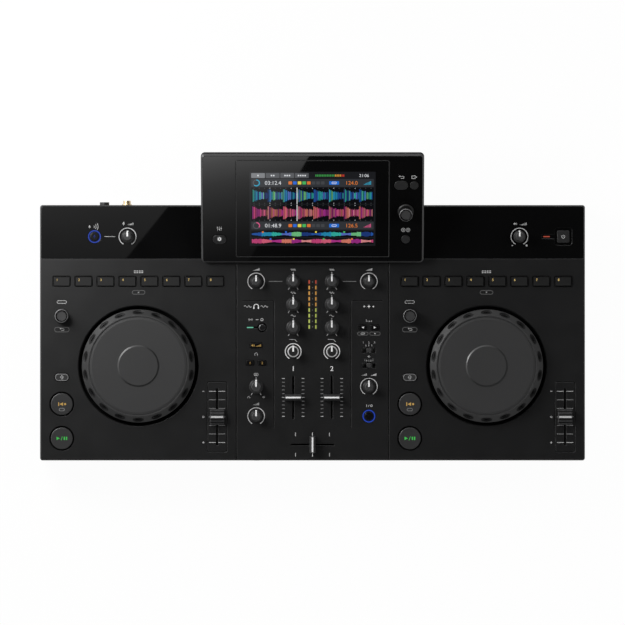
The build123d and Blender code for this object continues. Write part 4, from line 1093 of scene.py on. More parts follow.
def return_arrow(p, x, y, width):
    """An arrow that bends back to the left."""
    radius = width * 0.2
    bend = sweep(x + width * 0.3, y, radius, 0, 180)
    p.line([(x - width * 0.25, y + radius)] + bend + [(x - width * 0.1, y - radius)], width * 0.09)
    arrow(p, x - width * 0.36, y + radius, -width * 0.26, width * 0.36)


def cycle(p, x, y, width, height):
    """A loop of two arrows."""
    radius = height / 2
    reach = width / 2 - radius
    for side in BOTH:
        start = 0 if side > 0 else 180
        bend = sweep(x + side * reach, y, radius, start, start + 125)
        p.line([(x - side * reach, y + side * radius)] + bend, THIN)
        head = x - side * (reach + height * 0.15)
        arrow(p, head, y + side * radius, -side * height * 0.5, height * 0.6)


def power_sign(p, x, y, size):
    """An open ring with a stroke at the top."""
    p.arc(x, y, size * 0.4, 38, 322, size * 0.11)
    p.line(((x, y + size * 0.08), (x, y + size * 0.52)), size * 0.11)


def tag_sign(p, x, y, size):
    """A label with its eyelet."""
    edge = ((-0.5, -0.3), (0.15, -0.3), (0.5, 0.0), (0.15, 0.3), (-0.5, 0.3))
    p.loop([(x + size * px, y + size * py) for px, py in edge], size * 0.12)
    p.disc(x + size * 0.14, y, size * 0.08)


def disc_sign(p, x, y, size):
    """A record."""
    p.ring(x, y, size * 0.46, size * 0.1)
    p.disc(x, y, size * 0.16)


def sliders_sign(p, x, y, size):
    """Three faders, whose caps are thicker than their lines."""
    for index, share in enumerate((0.2, -0.2, 0.05)):
        column = x + (index - 1) * size * 0.42
        p.line(((column, y - size * 0.5), (column, y + size * 0.5)), size * 0.09)
        p.low -= INK_SINK
        p.high += INK_SINK
        p.box(column, y + share * size, size * 0.3, size * 0.2)
        p.low += INK_SINK
        p.high -= INK_SINK


def sparkle(p, x, y, size):
    """A four-pointed star."""
    points = []
    for corner in range(8):
        points.append(turned(x, y, size * (0.5 if corner % 2 == 0 else 0.14), corner * 45))
    p.fill(points)


def beats(p, x, y, width, height):
    """Four beats of which the first is the strongest."""
    for index, share in enumerate((1.0, 0.55, 0.55, 0.55)):
        p.box(x + width * (index / 3 - 0.5), y - height * (1 - share) / 2, STROKE, height * share)


def cross(p, x, y, size):
    """A cross of two strokes that do not meet."""
    for turn in (45, 135, 225, 315):
        p.line((turned(x, y, size * 0.14, turn), turned(x, y, size * 0.6, turn)), size * 0.22)


def slash(p, x, y, width, height, stroke):
    """A stroke that leans to the right as it rises."""
    across, along = width / 2, height / 2
    p.line(((x - across, y - along), (x + across, y + along)), stroke)


def pill_line(p, x, y, width, depth):
    """A thin line round a pill."""
    p.loop(pill(x, y, width, depth), THIN)


def up_arrow(p, x, y):
    """The outline of an arrow that points up."""
    edge = ((-1.9, 0.2), (0.0, 2.2), (1.9, 0.2), (0.8, 0.2), (0.8, -2.0), (-0.8, -2.0), (-0.8, 0.2))
    p.loop([(x + px, y + py) for px, py in edge], 0.45)


# Printed panels


def signs(p, x, y, *rows):
    """Prints signs about a point: each an ink, the sign, its offset across and up, its sizes."""
    for shade, sign, across, rise, *sizes in rows:
        sign(p.use(shade), x + across, y + rise, *sizes)


def symbols(name, node, *rows):
    """Prints signs about the middle of a node's top, as one piece that rides on the node."""
    p = print_on(node, *dict.fromkeys(row[0] for row in rows))
    signs(p, *spot(node), *rows)
    p.make(name, node)


def dial(p, node, radius):
    """The arc round a knob that stands for a level."""
    x, y = spot(node)
    strong = node.startswith("filter")
    p.use("white" if strong else "pale")
    p.arc(x, y, radius, -DIAL_SPAN, DIAL_SPAN, DIAL_STROKES[strong])


def tone_ticks(p, node):
    """The marks at the middle and both ends of a tone knob's turn."""
    x, y = spot(node)
    p.use("grey").line([turned(x, y, reach, 0) for reach in TICK_TOP], STROKE)
    for turn in (-TICK_END_TURN, TICK_END_TURN):
        p.line([turned(x, y, reach, turn) for reach in TICK_END], STROKE)


def deck_print(side):
    """The marks on the top plate round one deck."""
    p = print_on("top_case", "grey", "dim", "outline")
    for row in BOTH:
        for column in (-1.5, -0.5, 0.5, 1.5):
            cell = ("grey", Print.box, column * 2.9, 11.2 + row * 0.95, 2.0, 1.15)
            signs(p, *spot(f"pads_{side}"), cell)
    signs(
        p, *spot(f"pads_{side}"),
        ("outline", pill_line, 0.0, -12.9, 14.8, 4.3),
        ("grey", cross, 0.0, -12.9, 1.9),
    )
    signs(
        p, *spot(f"loop_knob_{side}"),
        ("grey", cycle, 0.0, 16.3, 11.0, 3.0),
        ("outline", pill_line, 0.0, -16.0, 17.0, 5.3),
        ("grey", return_arrow, 0.0, -16.0, 5.2),
    )
    tempo_scale(p, side)
    p.make(f"deck_print_{side}", "case")


def tempo_scale(p, side):
    """The seven pairs of ticks at the tempo slider, and the signs beside them."""
    x, y = spot(f"tempo_slider_{side}")
    for index in range(-3, 4):
        p.use("grey" if index in (-3, 0, 3) else "dim")
        height = y + index * TEMPO_PITCH
        for across in BOTH:
            inner = x + across * 1.5
            p.line(((inner, height), (inner + across * 8.0, height)), 0.7)
    end = 3 * TEMPO_PITCH
    signs(
        p, x - 16.1, y,
        ("grey", Print.box, 0.0, end, 2.4, 0.8),
        ("grey", Print.ring, 0.0, 0.0, 0.9, 0.6),
        ("grey", Print.box, 0.0, -end, 2.4, 0.8),
        ("grey", Print.box, 0.0, -end - 0.85, 0.8, 0.8),
        ("grey", Print.box, 0.0, -end + 0.85, 0.8, 0.8),
    )


def fader_scale(p, channel):
    """The ticks on both sides of a channel fader, and the channel's number."""
    x, y = spot(f"channel_fader_{channel}")
    for index in range(-5, 6):
        strong = index in (-5, 0, 5)
        p.use("grey" if strong else "dim")
        for side in BOTH:
            p.box(x + side * 11.5, y + index * FADER_PITCH, 3.2, 0.85 if strong else 0.7)
    p.use("white").digits(x, y + 33.8, 5.6, channel)


def mixer_print():
    """The marks on the top plate round the mixer and the two groups beside it."""
    p = print_on("top_case", "white", "pale", "grey", "dim", "outline")
    for node, radius in DIALS.items():
        if node not in STRIP_DIALS:
            dial(p, node, radius)
    for node in CENTRED_KNOBS:
        tone_ticks(p, node)
    for side, channel in zip(BOTH, CHANNELS):
        fader_scale(p, channel)
        x, y = spot(f"trim_knob_{channel}")
        inner = spot(f"high_knob_{channel}").x
        p.use("dim").line(((x - side * 14.8, y), (inner + side * 12.8, y)), THIN)
        wedge(p.use("grey"), x, y + LABEL_RISE, 8.0, LABEL_H)
        for band, periods in TONES.items():
            label = ("grey", waves, 0.0, LABEL_RISE - 0.3, 5.6, 1.9, periods)
            signs(p, *spot(f"{band}_knob_{channel}"), label)
        x, y = spot(f"filter_knob_{channel}")
        curve = [(x - 4.6, y + 14.2)] + sweep(x + 1.0, y + 12.0, 2.2, 0, 70) + [(x + 4.6, y + 11.6)]
        p.line(curve, THIN)
    crossfader_scale(p)
    meter_dots(p)
    phones_marks(p)
    effect_marks(p)
    p.make("mixer_print", "case")


def crossfader_scale(p):
    """The ticks before and behind the crossfader."""
    x, y = spot("crossfader")
    for column in (-1, 0, 1):
        p.use("white" if column == 0 else "grey")
        for row in BOTH:
            p.box(x + column * 19.9, y + row * 11.9, 0.8, 4.2)


def meter_rows():
    """The middles of the meter's lamps along the depth, from the rear, in millimetres."""
    places = [vertex.co / MM for vertex in frame["nodes"]["light_pipes"].data.vertices]
    found = [place.y for place in places if abs(place.x) < METER_REACH]
    pitch = (max(found) - min(found) - METER_LAMP_L) / (METER_ROWS - 1)
    return [max(found) - METER_LAMP_L / 2 - row * pitch for row in range(METER_ROWS)]


def meter_dots(p):
    """The small scale between the meter's two columns."""
    p.use("dim")
    for y in meter_rows():
        p.disc(0.0, y, 0.55)


def phones_marks(p):
    """The marks of the headphone group."""
    x, y = spot("phones_level_knob")
    signs(
        p, x, spot("pairing_button").y,
        ("white", headphones, 0.0, GROUP_RISE, 6.4),
        ("grey", waves, -9.6, GROUP_RISE, 8.4, 2.0, 2),
        ("grey", waves, 9.6, GROUP_RISE, 8.4, 2.0, 2),
        ("grey", signal, -6.6, 9.2, 4.0),
        ("grey", Print.box, 1.2, 9.2, 3.0, 0.8),
        ("grey", Print.ring, 6.8, 9.2, 1.4, 0.7),
    )
    signs(p, x, spot("phones_keys").y, ("grey", headphones, 0.0, 0.0, 3.6))
    signs(
        p, x, spot("phones_mix_knob").y,
        ("grey", Print.ring, -0.9, SIGN_RISE, 1.5, THIN),
        ("grey", Print.ring, 0.9, SIGN_RISE, 1.5, THIN),
        ("grey", headphones, -8.6, -12.4, 2.8),
        ("grey", speaker, 8.8, -12.2, 2.8),
    )
    signs(p, x, y, ("grey", bars, 0.0, SIGN_RISE, 7.4, LABEL_H, 5))


def effect_marks(p):
    """The marks of the effect group."""
    x, y = spot("effect_level_knob")
    signs(
        p, x, spot("beat_keys").y,
        ("white", sparkle, -5.4, GROUP_RISE, 3.2),
        ("white", sparkle, 0.0, GROUP_RISE, 4.6),
        ("white", sparkle, 5.4, GROUP_RISE, 3.2),
        ("grey", beats, 0.0, 8.0, 6.0, 2.8),
        ("outline", pill_line, -KEY_PITCH, -7.2, 12.2, 3.7),
        ("outline", pill_line, KEY_PITCH, -7.2, 12.2, 3.7),
        ("grey", cycle, -KEY_PITCH, -7.2, 4.4, 1.5),
        ("grey", Print.disc, KEY_PITCH, -7.2, 0.8),
    )
    for column in (-1, 0, 1):
        signs(
            p, x, spot("effect_select_switch").y,
            ("grey", Print.box, column * 3.4, 5.6, 0.6, 2.4),
            ("grey", Print.digits, column * 6.6, 9.0, 2.4, str(column + 2)),
        )
    signs(
        p, x, spot("effect_channel_switch").y,
        ("grey", Print.digits, -4.6, 6.4, 2.4, "1"),
        ("grey", Print.box, -2.4, 5.4, 0.6, 2.0),
        ("grey", Print.digits, 4.6, 6.4, 2.4, "2"),
        ("grey", Print.box, 2.4, 5.4, 0.6, 2.0),
        ("grey", Print.box, 0.0, 5.4, 0.6, 2.0),
        ("grey", speaker, 0.0, 10.2, 2.8),
    )
    signs(
        p, x, y,
        ("grey", bars, -5.4, SIGN_RISE, 6.4, LABEL_H, 5),
        ("grey", wedge, 5.4, SIGN_RISE, 7.0, LABEL_H),
    )
    signs(
        p, x, spot("effect_button").y,
        ("grey", slash, -2.6, 12.2, 0.0, 2.6, STROKE),
        ("grey", slash, -0.1, 12.2, 1.4, 2.6, THIN),
        ("grey", Print.ring, 3.0, 12.2, 1.1, 0.7),
    )


def strip_print():
    """The marks on the polished strip."""
    p = print_on("gloss_strip", "pale", "grey")
    for node in STRIP_DIALS:
        dial(p, node, DIALS[node])
    knob = spot("mic_level_knob")
    button = spot("mic_button")
    p.use("grey").line(((button.x + 12.0, button.y), (knob.x - 14.4, knob.y)), THIN)
    signs(
        p, *knob,
        ("grey", microphone, -4.6, 15.0, 4.4),
        ("grey", bars, 3.4, 14.8, 7.4, 3.0, 5),
    )
    signs(
        p, *button,
        ("grey", microphone, -5.6, 11.4, 4.0),
        ("grey", Print.arc, -2.6, 11.6, 2.4, 55, 125, THIN),
        ("grey", Print.arc, -2.6, 11.6, 4.6, 55, 125, THIN),
        ("grey", Print.arc, -2.6, 11.6, 6.8, 55, 125, THIN),
    )
    signs(
        p, *spot("master_level_knob"),
        ("grey", speaker, -5.0, 15.0, 3.8),
        ("grey", bars, 4.4, 14.8, 8.4, 3.0, 6),
        ("grey", Print.disc, -8.4, -10.4, 0.7),
        ("grey", Print.disc, 8.4, -10.4, 1.1),
    )
    p.make("strip_print", "case")


def pod_print():
    """The marks on the screen pod, and the fine line round its glass."""
    plane = pod_plane()
    p = Print(plane, ("grey", "faint"))
    low, high = box_of("touch_screen")
    width = (high.x - low.x) / MM
    depth = (high.y - low.y) / MM / math.cos(math.radians(POD_TILT)) - GLASS_LEAN
    p.use("faint").loop(rounded(0.0, 0.0, width - 0.7, depth - 0.7, 1.5), 0.45)
    for node, *row in (
        ("mixer_settings_button", sliders_sign, 0.0, 12.6, 5.0),
        ("back_button", return_arrow, 0.0, 9.2, 6.4),
        ("tag_button", tag_sign, 0.0, 9.4, 5.6),
        ("deck_settings_button", disc_sign, -2.8, 11.0, 4.6),
        ("deck_settings_button", disc_sign, 2.8, 11.0, 4.6),
    ):
        signs(p, *on_pod(plane, node), ("grey", *row))
    p.make("pod_print", "case")


def rear_print():
    """The signs over the sockets on the rear wall."""
    high = box_of("top_case")[1]
    p = Print(upright((0, high.y, 0), (-1, 0, 0), (0, 0, 1)), ("grey",))
    level = high.z / MM - 8.0
    signs(p, -MIC_COLUMN, level, ("grey", microphone, 0.0, -2.0, 6.0))
    for way, column in zip(BOTH, PHONO_COLUMNS):
        signs(
            p, -column, level,
            ("grey", arrow, 0.0, 1.0, way * 4.4, 3.6),
            ("grey", speaker, 6.5, 1.0, 4.0),
        )
    for channel, column in zip(CHANNELS, PORT_COLUMNS):
        signs(p, -column, level, ("grey", Print.digits, 0.0, -8.0, 3.4, channel))
    signs(
        p, -POWER_COLUMN, level,
        ("grey", Print.ring, 0.0, -6.0, 1.9, 0.6),
        ("grey", Print.disc, 0.0, -6.0, 0.7),
        ("grey", Print.box, -4.3, -6.0, 2.6, 0.6),
        ("grey", Print.box, 4.3, -6.0, 2.6, 0.6),
    )
    p.make("rear_print", "case")


# Pieces on the moving bodies


def outer_profile(node):
    """A turned knob's outline from its middle outward, as radius and height in millimetres."""
    centre = spot(node)
    rings = set()
    for vertex in frame["nodes"][node].data.vertices:
        place = vertex.co / MM
        radius = (Vector((place.x, place.y)) - centre).length
        rings.add((round(-place.z, 3), round(radius, 3)))
    outline = []
    for depth, radius in sorted(rings):
        if not outline or radius > outline[-1][0] + 0.01:
            outline.append((radius, -depth))
    return [(0.0, outline[0][1])] + outline


def between_radii(outline, start, end):
    """The part of a knob's outline between two radii."""
    def height(radius):
        for (r0, z0), (r1, z1) in zip(outline, outline[1:]):
            if r0 <= radius <= r1:
                return z0 + (z1 - z0) * (radius - r0) / (r1 - r0)
        return outline[-1][1]

    inner = [(radius, z) for radius, z in outline if start < radius < end]
    return [(start, height(start))] + inner + [(end, height(end))]


def skin(node, start, end):
    """The lower and upper edge of a thin skin along a knob's outline between two radii."""
    outline = between_radii(outer_profile(node), start, end)
    low = []
    high = []
    for index, (radius, z) in enumerate(outline):
        r0, z0 = outline[max(index - 1, 0)]
        r1, z1 = outline[min(index + 1, len(outline) - 1)]
        run = Vector((r1 - r0, z1 - z0)).normalized()
        out = Vector((-run.y, run.x))
        low.append((radius - out.x * SKIN_SINK, z - out.y * SKIN_SINK))
        high.append((radius + out.x * SKIN_RISE, z + out.y * SKIN_RISE))
    return low, high


def radius_of(node):
    """The radius of a knob's skirt, in millimetres."""
    return box_of(node)[1].x / MM - spot(node).x


def pointer(node, width):
    """The white line from a knob's middle to its edge, laid over the knob's outline."""
    centre = spot(node)
    low, high = skin(node, 0.0, radius_of(node))
    mesh = bmesh.new()
    rows = []
    for bottom, top in zip(low, high):
        row = []
        for radius, z in (bottom, top):
            for side in BOTH:
                place = Vector((centre.x + side * width / 2, centre.y + radius, z))
                row.append(mesh.verts.new(place * MM))
        rows.append(row)
    for start, end in zip(rows, rows[1:]):
        for one, two in ((0, 1), (1, 3), (3, 2), (2, 0)):
            mesh.faces.new((start[one], start[two], end[two], end[one]))
    for row in (rows[0], rows[-1]):
        mesh.faces.new((row[0], row[1], row[3], row[2]))
    ride(f"pointer_{node}", mesh, node, [ink_named("white")])


def painted_ring(node):
    """A painted ring near a knob's edge that follows the knob's outline."""
    centre = spot(node)
    low, high = skin(node, *(radius_of(node) * share for share in RING_SHARES))
    loop = high + list(reversed(low))
    mesh = bmesh.new()
    rows = []
    for step in range(RING_STEPS):
        row = []
        for radius, z in loop:
            place = turned(centre.x, centre.y, radius, 360 * step / RING_STEPS)
            row.append(mesh.verts.new(Vector((place.x, place.y, z)) * MM))
        rows.append(row)
    for index, row in enumerate(rows):
        last = rows[index - 1]
        for corner in range(len(loop)):
            mesh.faces.new((last[corner - 1], last[corner], row[corner], row[corner - 1]))
    ride(f"ring_{node}", mesh, node, [ink_named("pale")])


def fader_line(node, shade, width, depth):
    """The line on a fader's ridge."""
    symbols(f"line_{node}", node, (shade, Print.box, 0.0, 0.0, width, depth))


def pad_numbers(side):
    """A painted shadow line round each pad, and a lit figure in its rear left corner."""
    node = f"pads_{side}"
    low, high = box_of(node)
    y = spot(node).y
    p = print_on(node, "straw", "border")
    first = low.x / MM + PAD_FLANGE + PAD_W / 2
    last = high.x / MM - PAD_FLANGE - PAD_W / 2
    for index in range(PAD_COUNT):
        x = first + (last - first) * index / (PAD_COUNT - 1)
        p.use("straw").digits(x - 5.4, y + 1.8, 2.8, str(index + 1))
        p.use("border").loop(rounded(x, y, *PAD_SHADE_LINE), PAD_SHADE_LINE_W)
    p.make(f"numbers_{node}", node, finishes=[ink_named("straw"), plastic("pad_edge")])


def deck_symbols(side):
    """The symbols on a deck's cue, play and shift buttons."""
    rows = {
        "cue": (
            ("sand", Print.box, -3.6, 0.0, 1.1, 4.2),
            ("sand", arrow, -0.6, 0.0, -4.2, 4.2),
            ("sand", Print.disc, 3.9, 0.0, 1.3),
            ("dim", pill_line, 0.0, -6.4, 6.2, 3.0),
        ),
        "play": (
            ("green", arrow, -4.2, 0.0, 3.9, 4.0),
            ("green", slash, -0.1, 0.0, 1.6, 4.4, 0.7),
            ("green", Print.box, 3.0, 0.0, 1.5, 3.8),
            ("green", Print.box, 5.6, 0.0, 1.5, 3.8),
        ),
        "shift": (("dim", pill_line, 0.0, 0.0, 14.6, 7.4), ("grey", up_arrow, 0.0, 0.0)),
    }
    for kind in DECK_BUTTONS:
        node = f"{kind}_button_{side}"
        symbols(f"symbol_{node}", node, *rows[kind])


def key_symbols():
    """The symbols on the keys of the headphone and effect groups and on the strip."""
    ways = [("white", arrow, side * KEY_PITCH, 0.0, side * 2.6, 2.3) for side in BOTH]
    symbols("symbols_beat_keys", "beat_keys", *ways)
    low, high = box_of("phones_keys")
    reach = (high.y - low.y) / MM / 2 - PAD_FLANGE - KEY_D / 2
    symbols(
        "symbols_phones_keys", "phones_keys",
        ("sand", speaker, -3.6, reach, 3.6),
        ("sand", bars, 2.6, reach - 0.1, 6.6, 2.6, 6),
        ("sand", Print.digits, -KEY_PITCH, -reach, 2.8, "1"),
        ("sand", Print.digits, KEY_PITCH, -reach, 2.8, "2"),
    )
    symbols("symbol_power_button", "power_button", ("pale", power_sign, 0.0, 0.0, 4.6))
    symbols("symbol_mic_button", "mic_button", ("navy", microphone, 0.0, 0.0, 4.4))


def pod_symbols():
    """The gear on the pod's left button."""
    node = "mixer_settings_button"
    plane = pod_plane()
    p = Print(plane @ Matrix.Translation((0, 0, POD_KEY_PROUD)), ("white",))
    gear(p, *on_pod(plane, node), 4.6)
    p.make(f"symbol_{node}", node)


# Screen picture


class Picture(Print):
    """The lit picture, drawn in layers that lie one above the other."""

    LAYER = 0.03

    def layer(self, index):
        """Works on the layer of this number from now on."""
        self.low = index * self.LAYER
        self.high = (index + 1) * self.LAYER
        return self

    def paint(self, colour):
        """Takes up a colour, given as 0 to 255."""
        self.colour = rgba(screen_colour(*colour))
        return self

    def panel(self, left, low, right, high, radius=0.0):
        """A rectangle by its edges."""
        x = (left + right) / 2
        y = (low + high) / 2
        if radius:
            self.fill(rounded(x, y, right - left, high - low, radius))
        else:
            self.box(x, y, right - left, high - low)


def wave_row(p, chance, low, high, palette, playhead):
    """A row of bars that stand for a track's sound, with its beats above and below."""
    p.layer(1).paint(WAVE_BACK).panel(-PICTURE_EDGE, low, PICTURE_EDGE, high)
    middle = (low + high) / 2
    half = (high - low) / 2 - 2.2
    pitch = 0.74
    count = int(140.0 / pitch)
    shade = chance.choice(palette)
    for index in range(count):
        if chance.random() < 0.62:
            shade = chance.choice(palette)
        beat = (index % 24) / 24
        size = half * min(1.0, 0.34 + 0.66 * math.exp(-3.2 * beat) + 0.22 * chance.random())
        level = 0.5 + 0.5 * chance.random()
        p.layer(2).paint([min(255, channel * level) for channel in shade])
        p.box((index - (count - 1) / 2) * pitch, middle, pitch * 0.9, 2 * size)
    for index in range(-11, 12):
        p.layer(2).paint(PALE if index % 4 == 0 else RAISED)
        for edge in (low + 0.8, high - 0.8):
            p.box(index * 6.2, edge, 0.6, 0.9)
    p.layer(3).paint(PLAYHEAD).box(playhead, middle, 0.8, high - low)


def deck_row(p, low, high, time, tempo, share, colour):
    """A deck's own panel: its dial, time, tempo and the state of its loop."""
    middle = (low + high) / 2
    p.layer(1).paint(PANEL).panel(-PICTURE_EDGE, low, PICTURE_EDGE, high, 1.0)
    p.layer(2).paint(RAISED).ring(-65.4, middle, 3.6, 1.0)
    p.layer(3).paint(colour).arc(-65.4, middle, 3.6, 0, 360 * share, 1.2)
    p.layer(2).paint(PALE).digits(-46.0, middle, 4.6, time)
    for index in range(8):
        p.paint(SPOTS[index % 4] if index < 5 else UNUSED)
        p.panel(-28.0 + index * 5.4, middle - 1.9, -23.8 + index * 5.4, middle + 1.9, 0.5)
    p.paint(LOOPED).panel(19.4, middle - 2.2, 31.0, middle + 2.2, 0.7)
    p.layer(3).paint(PALE)
    cycle(p, 25.2, middle, 5.4, 2.0)
    p.layer(2).paint(TEMPO).digits(46.0, middle, 4.6, tempo)
    p.paint(colour)
    bars(p, 64.0, middle, 9.0, 4.6, 6)


def screen_picture():
    """The whole picture: header, two decks with their waves, and the two track maps."""
    chance = random.Random(SEED)
    p = Picture(pod_plane() @ Matrix.Translation((0, 0, marks().rise / MM)), ("lit",))
    p.layer(0).paint(DARK).box(0.0, 0.0, PICTURE_W, PICTURE_H)
    top = PICTURE_H / 2
    head = top - 4.6
    for index in range(4):
        left = -PICTURE_EDGE + index * 17.0
        p.layer(1).paint(RAISED if index else CHOSEN)
        p.panel(left, top - 7.6, left + 16.0, top - 1.6, 0.8)
        p.layer(2).paint(PALE)
        for dot in range(index + 1):
            p.box(left + 8.0 + (dot - index / 2) * 2.6, head, 1.7, 1.7)
    p.layer(1)
    for index, colour in enumerate(LEVELS):
        p.paint(colour).box(4.0 + index * 1.9, head, 1.3, 2.6)
    p.paint(PALE).digits(60.0, head, 3.6, "21:06")
    deck_row(p, 27.2, 36.8, "03:12.4", "124.0", 0.62, DECK_TONES[0])
    wave_row(p, chance, 6.2, 26.2, COOL, -18.0)
    wave_row(p, chance, -14.8, 5.2, WARM, -18.0)
    deck_row(p, -25.4, -15.8, "01:48.9", "126.5", 0.35, DECK_TONES[1])
    for row, palette in enumerate((COOL, WARM)):
        centre = -31.2 - row * 8.6
        p.layer(1).paint(MAP_BACK).panel(-PICTURE_EDGE, centre - 3.6, PICTURE_EDGE, centre + 3.6)
        p.layer(2)
        for index in range(110):
            size = 0.9 + 2.2 * abs(math.sin(index * 0.11 + row)) * (0.5 + 0.5 * chance.random())
            p.paint(palette[(index // 9) % len(palette)])
            p.box(-70.3 + index * 1.29, centre, 1.0, 2 * size)
        p.layer(3)
        for index, place in enumerate((-58.0, -31.0, 4.0, 37.0)):
            p.paint(SPOTS[(index + row) % 4]).box(place + row * 9.0, centre + 2.6, 2.0, 2.0)
    p.make("screen_picture", "case", "screen_glass", [material("screen_picture", picture_glass)])


# Choosers, which name the finish of a place on a node, and the finishes of the lamps


def groove_chooser():
    """A function that tells where painted shade goes, in the top plate's grooves, dishes, wells and
    openings, from the rest.
    """
    low, high = (corner / MM for corner in box_of("top_case"))
    front = box_of("gloss_strip")[0].y / MM
    jogs = [spot(f"jog_plate_{side}") for side in SIDES]

    def choose(place):
        depth = high.z - place.z
        if any((place.xy - jog).length < JOG_ZONE for jog in jogs):
            # The jog wells' walls and floor are painted near black as shade.
            return "groove" if depth > WELL_LIP else "case"
        across = low.x + CASE_MARGIN < place.x < high.x - CASE_MARGIN
        inside = across and low.y + CASE_MARGIN < place.y < front
        return "groove" if inside and GROOVE_LEAST < depth < GROOVE_MOST else "case"

    return choose


def scoop_chooser(node):
    """A function that tells a jog rim's flat lip, painted light with the plate's finish, and finger
    scoops, painted darker as shade, from its sloping shoulder.
    """
    centre = spot(node)
    base = top_of("top_case")

    def choose(place):
        radius = (place.xy - centre).length
        level = place.z - base
        if radius < LIP_R and level > LIP_LEVEL:
            return "painted_lit_lip"
        sunk = (SHOULDER[0] - radius) * SHOULDER_LEAN[0] + (SHOULDER[1] - level) * SHOULDER_LEAN[1]
        zone = radius > SCOOP_ZONE[0] and level > SCOOP_ZONE[1]
        return "scoop" if zone and sunk > SCOOP_LEAST else "rim"

    return choose


def bevel_chooser(node):
    """A function that tells the slope round a touch plate's raised middle, which is painted darker
    as shade, from the rest of it.
    """
    centre = spot(node)
    top = top_of(node)

    def choose(place):
        radius = (place.xy - centre).length
        zone = BEVEL_ZONE[0] < radius < BEVEL_ZONE[1]
        return "bevel" if zone and place.z < top - BEVEL_DROP else "plate"

    return choose


def board_chooser():
    """A function that tells the boards from the parts on them and the slide switches' bodies, which
    are painted pale as light in their deep, shaded windows.
    """
    switches = [spot(node) for node in SWITCHES]

    def choose(place):
        if not PARTS_LEVEL[0] < place.z < PARTS_LEVEL[1]:
            return "board"
        for switch in switches:
            if abs(place.x - switch.x) < WINDOW[0] and abs(place.y - switch.y) < WINDOW[1]:
                return "track"
        return "part"

    return choose


def lamp_chooser():
    """A function that names the colour of the lamp at a place."""
    rows = meter_rows()
    strip = box_of("power_button")[0].y / MM
    pairing = spot("pairing_button")

    def choose(place):
        if abs(place.x) < METER_REACH:
            row = min(range(METER_ROWS), key=lambda index: abs(rows[index] - place.y))
            colour = "red" if row == 0 else "amber" if row < METER_LIME_ROW else "lime"
            return f"meter_{colour}"
        if place.y > strip and place.x > 0:
            return "red"
        return "teal" if (place.xy - pairing).length < PAIRING_ZONE else "blue"

    return choose


def meter_finish(name):
    """The finish of one colour of the meter's lamps."""
    rows = meter_rows()
    pitch = (rows[0] - rows[-1]) / (METER_ROWS - 1) * MM
    return material(f"meter_{name}", window, getattr(marks(), name), rows[0] * MM, pitch)


def bar_finish(name):
    """The finish of one colour of lit bar, bright along the middle of its depth."""
    choose = lamp_chooser()
    vertices = frame["nodes"]["light_pipes"].data.vertices
    levels = [vertex.co.y for vertex in vertices if choose(vertex.co / MM) == name]
    middle = (min(levels) + max(levels)) / 2
    return material(f"lit_bar_{name}", lit_bar, getattr(marks(), name), middle)


def socket_chooser():
    """A function that names the finish of the sockets at a place."""
    rear = box_of("top_case")[1].y / MM

    def choose(place):
        if place.y < 0:
            return "steel"
        phono = any(abs(place.x - column) < PHONO_REACH for column in PHONO_COLUMNS)
        if phono and place.y > rear - PHONO_DEEP:
            return "gold"
        port = PORT_ZONE[0] < place.x < PORT_ZONE[1]
        return "steel" if port and place.y > rear - PORT_DEEP else "inside"

    return choose


# Studio


def area_light(name, place, aim, size, watts, shine):
    """A square softbox at a place, turned to a point, that may show in polished pieces."""
    data = bpy.data.lights.new(name, "AREA")
    data.shape = "SQUARE"
    data.size = size
    data.energy = watts
    light = linked(name, data)
    light.location = place
    light.rotation_euler = (Vector(aim) - Vector(place)).to_track_quat("-Z", "Y").to_euler()
    light.visible_camera = False
    light.visible_glossy = shine


def reflected_card(name, eye, normal, rows, strength):
    """A softbox face, placed so that its edges show along these rows on a polished panel."""
    mesh = bmesh.new()
    glow = mesh.verts.layers.float_color.new("glow")
    grid = []
    for left, right, levels in rows:
        pair = []
        for place, level in zip((left, right), levels):
            look = (Vector(place) - eye).normalized()
            vertex = mesh.verts.new(Vector(place) + look.reflect(normal) * CARD_REACH)
            vertex[glow] = rgba((level * strength,) * 3)
            pair.append(vertex)
        grid.append(pair)
    for start, end in zip(grid, grid[1:]):
        mesh.faces.new((start[0], start[1], end[1], end[0]))
    card = finished(name, mesh, [material("softbox", softbox)])
    card.visible_camera = False
    card.visible_diffuse = False
    card.visible_transmission = False
    card.visible_shadow = False


def softbox(finish):
    """A glowing cloth, brighter where the card says."""
    level = finish.node("ShaderNodeAttribute", {"attribute_name": "glow"}, {}, "Color")
    finish.surface({
        "Base Color": BLACK,
        "Specular IOR Level": 0.0,
        "Emission Color": level,
        "Emission Strength": 1.0,
    })


def pale_floor(finish):
    """A white floor that still takes a soft shadow."""
    camera, glossy, through = (finish.node("ShaderNodeLightPath", {}, {}, ray) for ray in SEEN_RAYS)
    seen = camera + glossy + through
    cloth = finish.noise(400.0)
    tint = finish.blend(cloth, (0.97, 0.97, 0.97, 1.0), (1.0, 1.0, 1.0, 1.0))
    sockets = {"Base Color": tint, "Roughness": 1.0, "Specular IOR Level": 0.0}
    matte = finish.node("ShaderNodeBsdfPrincipled", {}, sockets)
    glow = finish.node("ShaderNodeEmission", {}, {"Strength": 1.0})
    mixed = finish.node("ShaderNodeMixShader", {}, {0: seen * 0.96, 1: matte, 2: glow})
    finish.node("ShaderNodeOutputMaterial", {}, {"Surface": mixed})


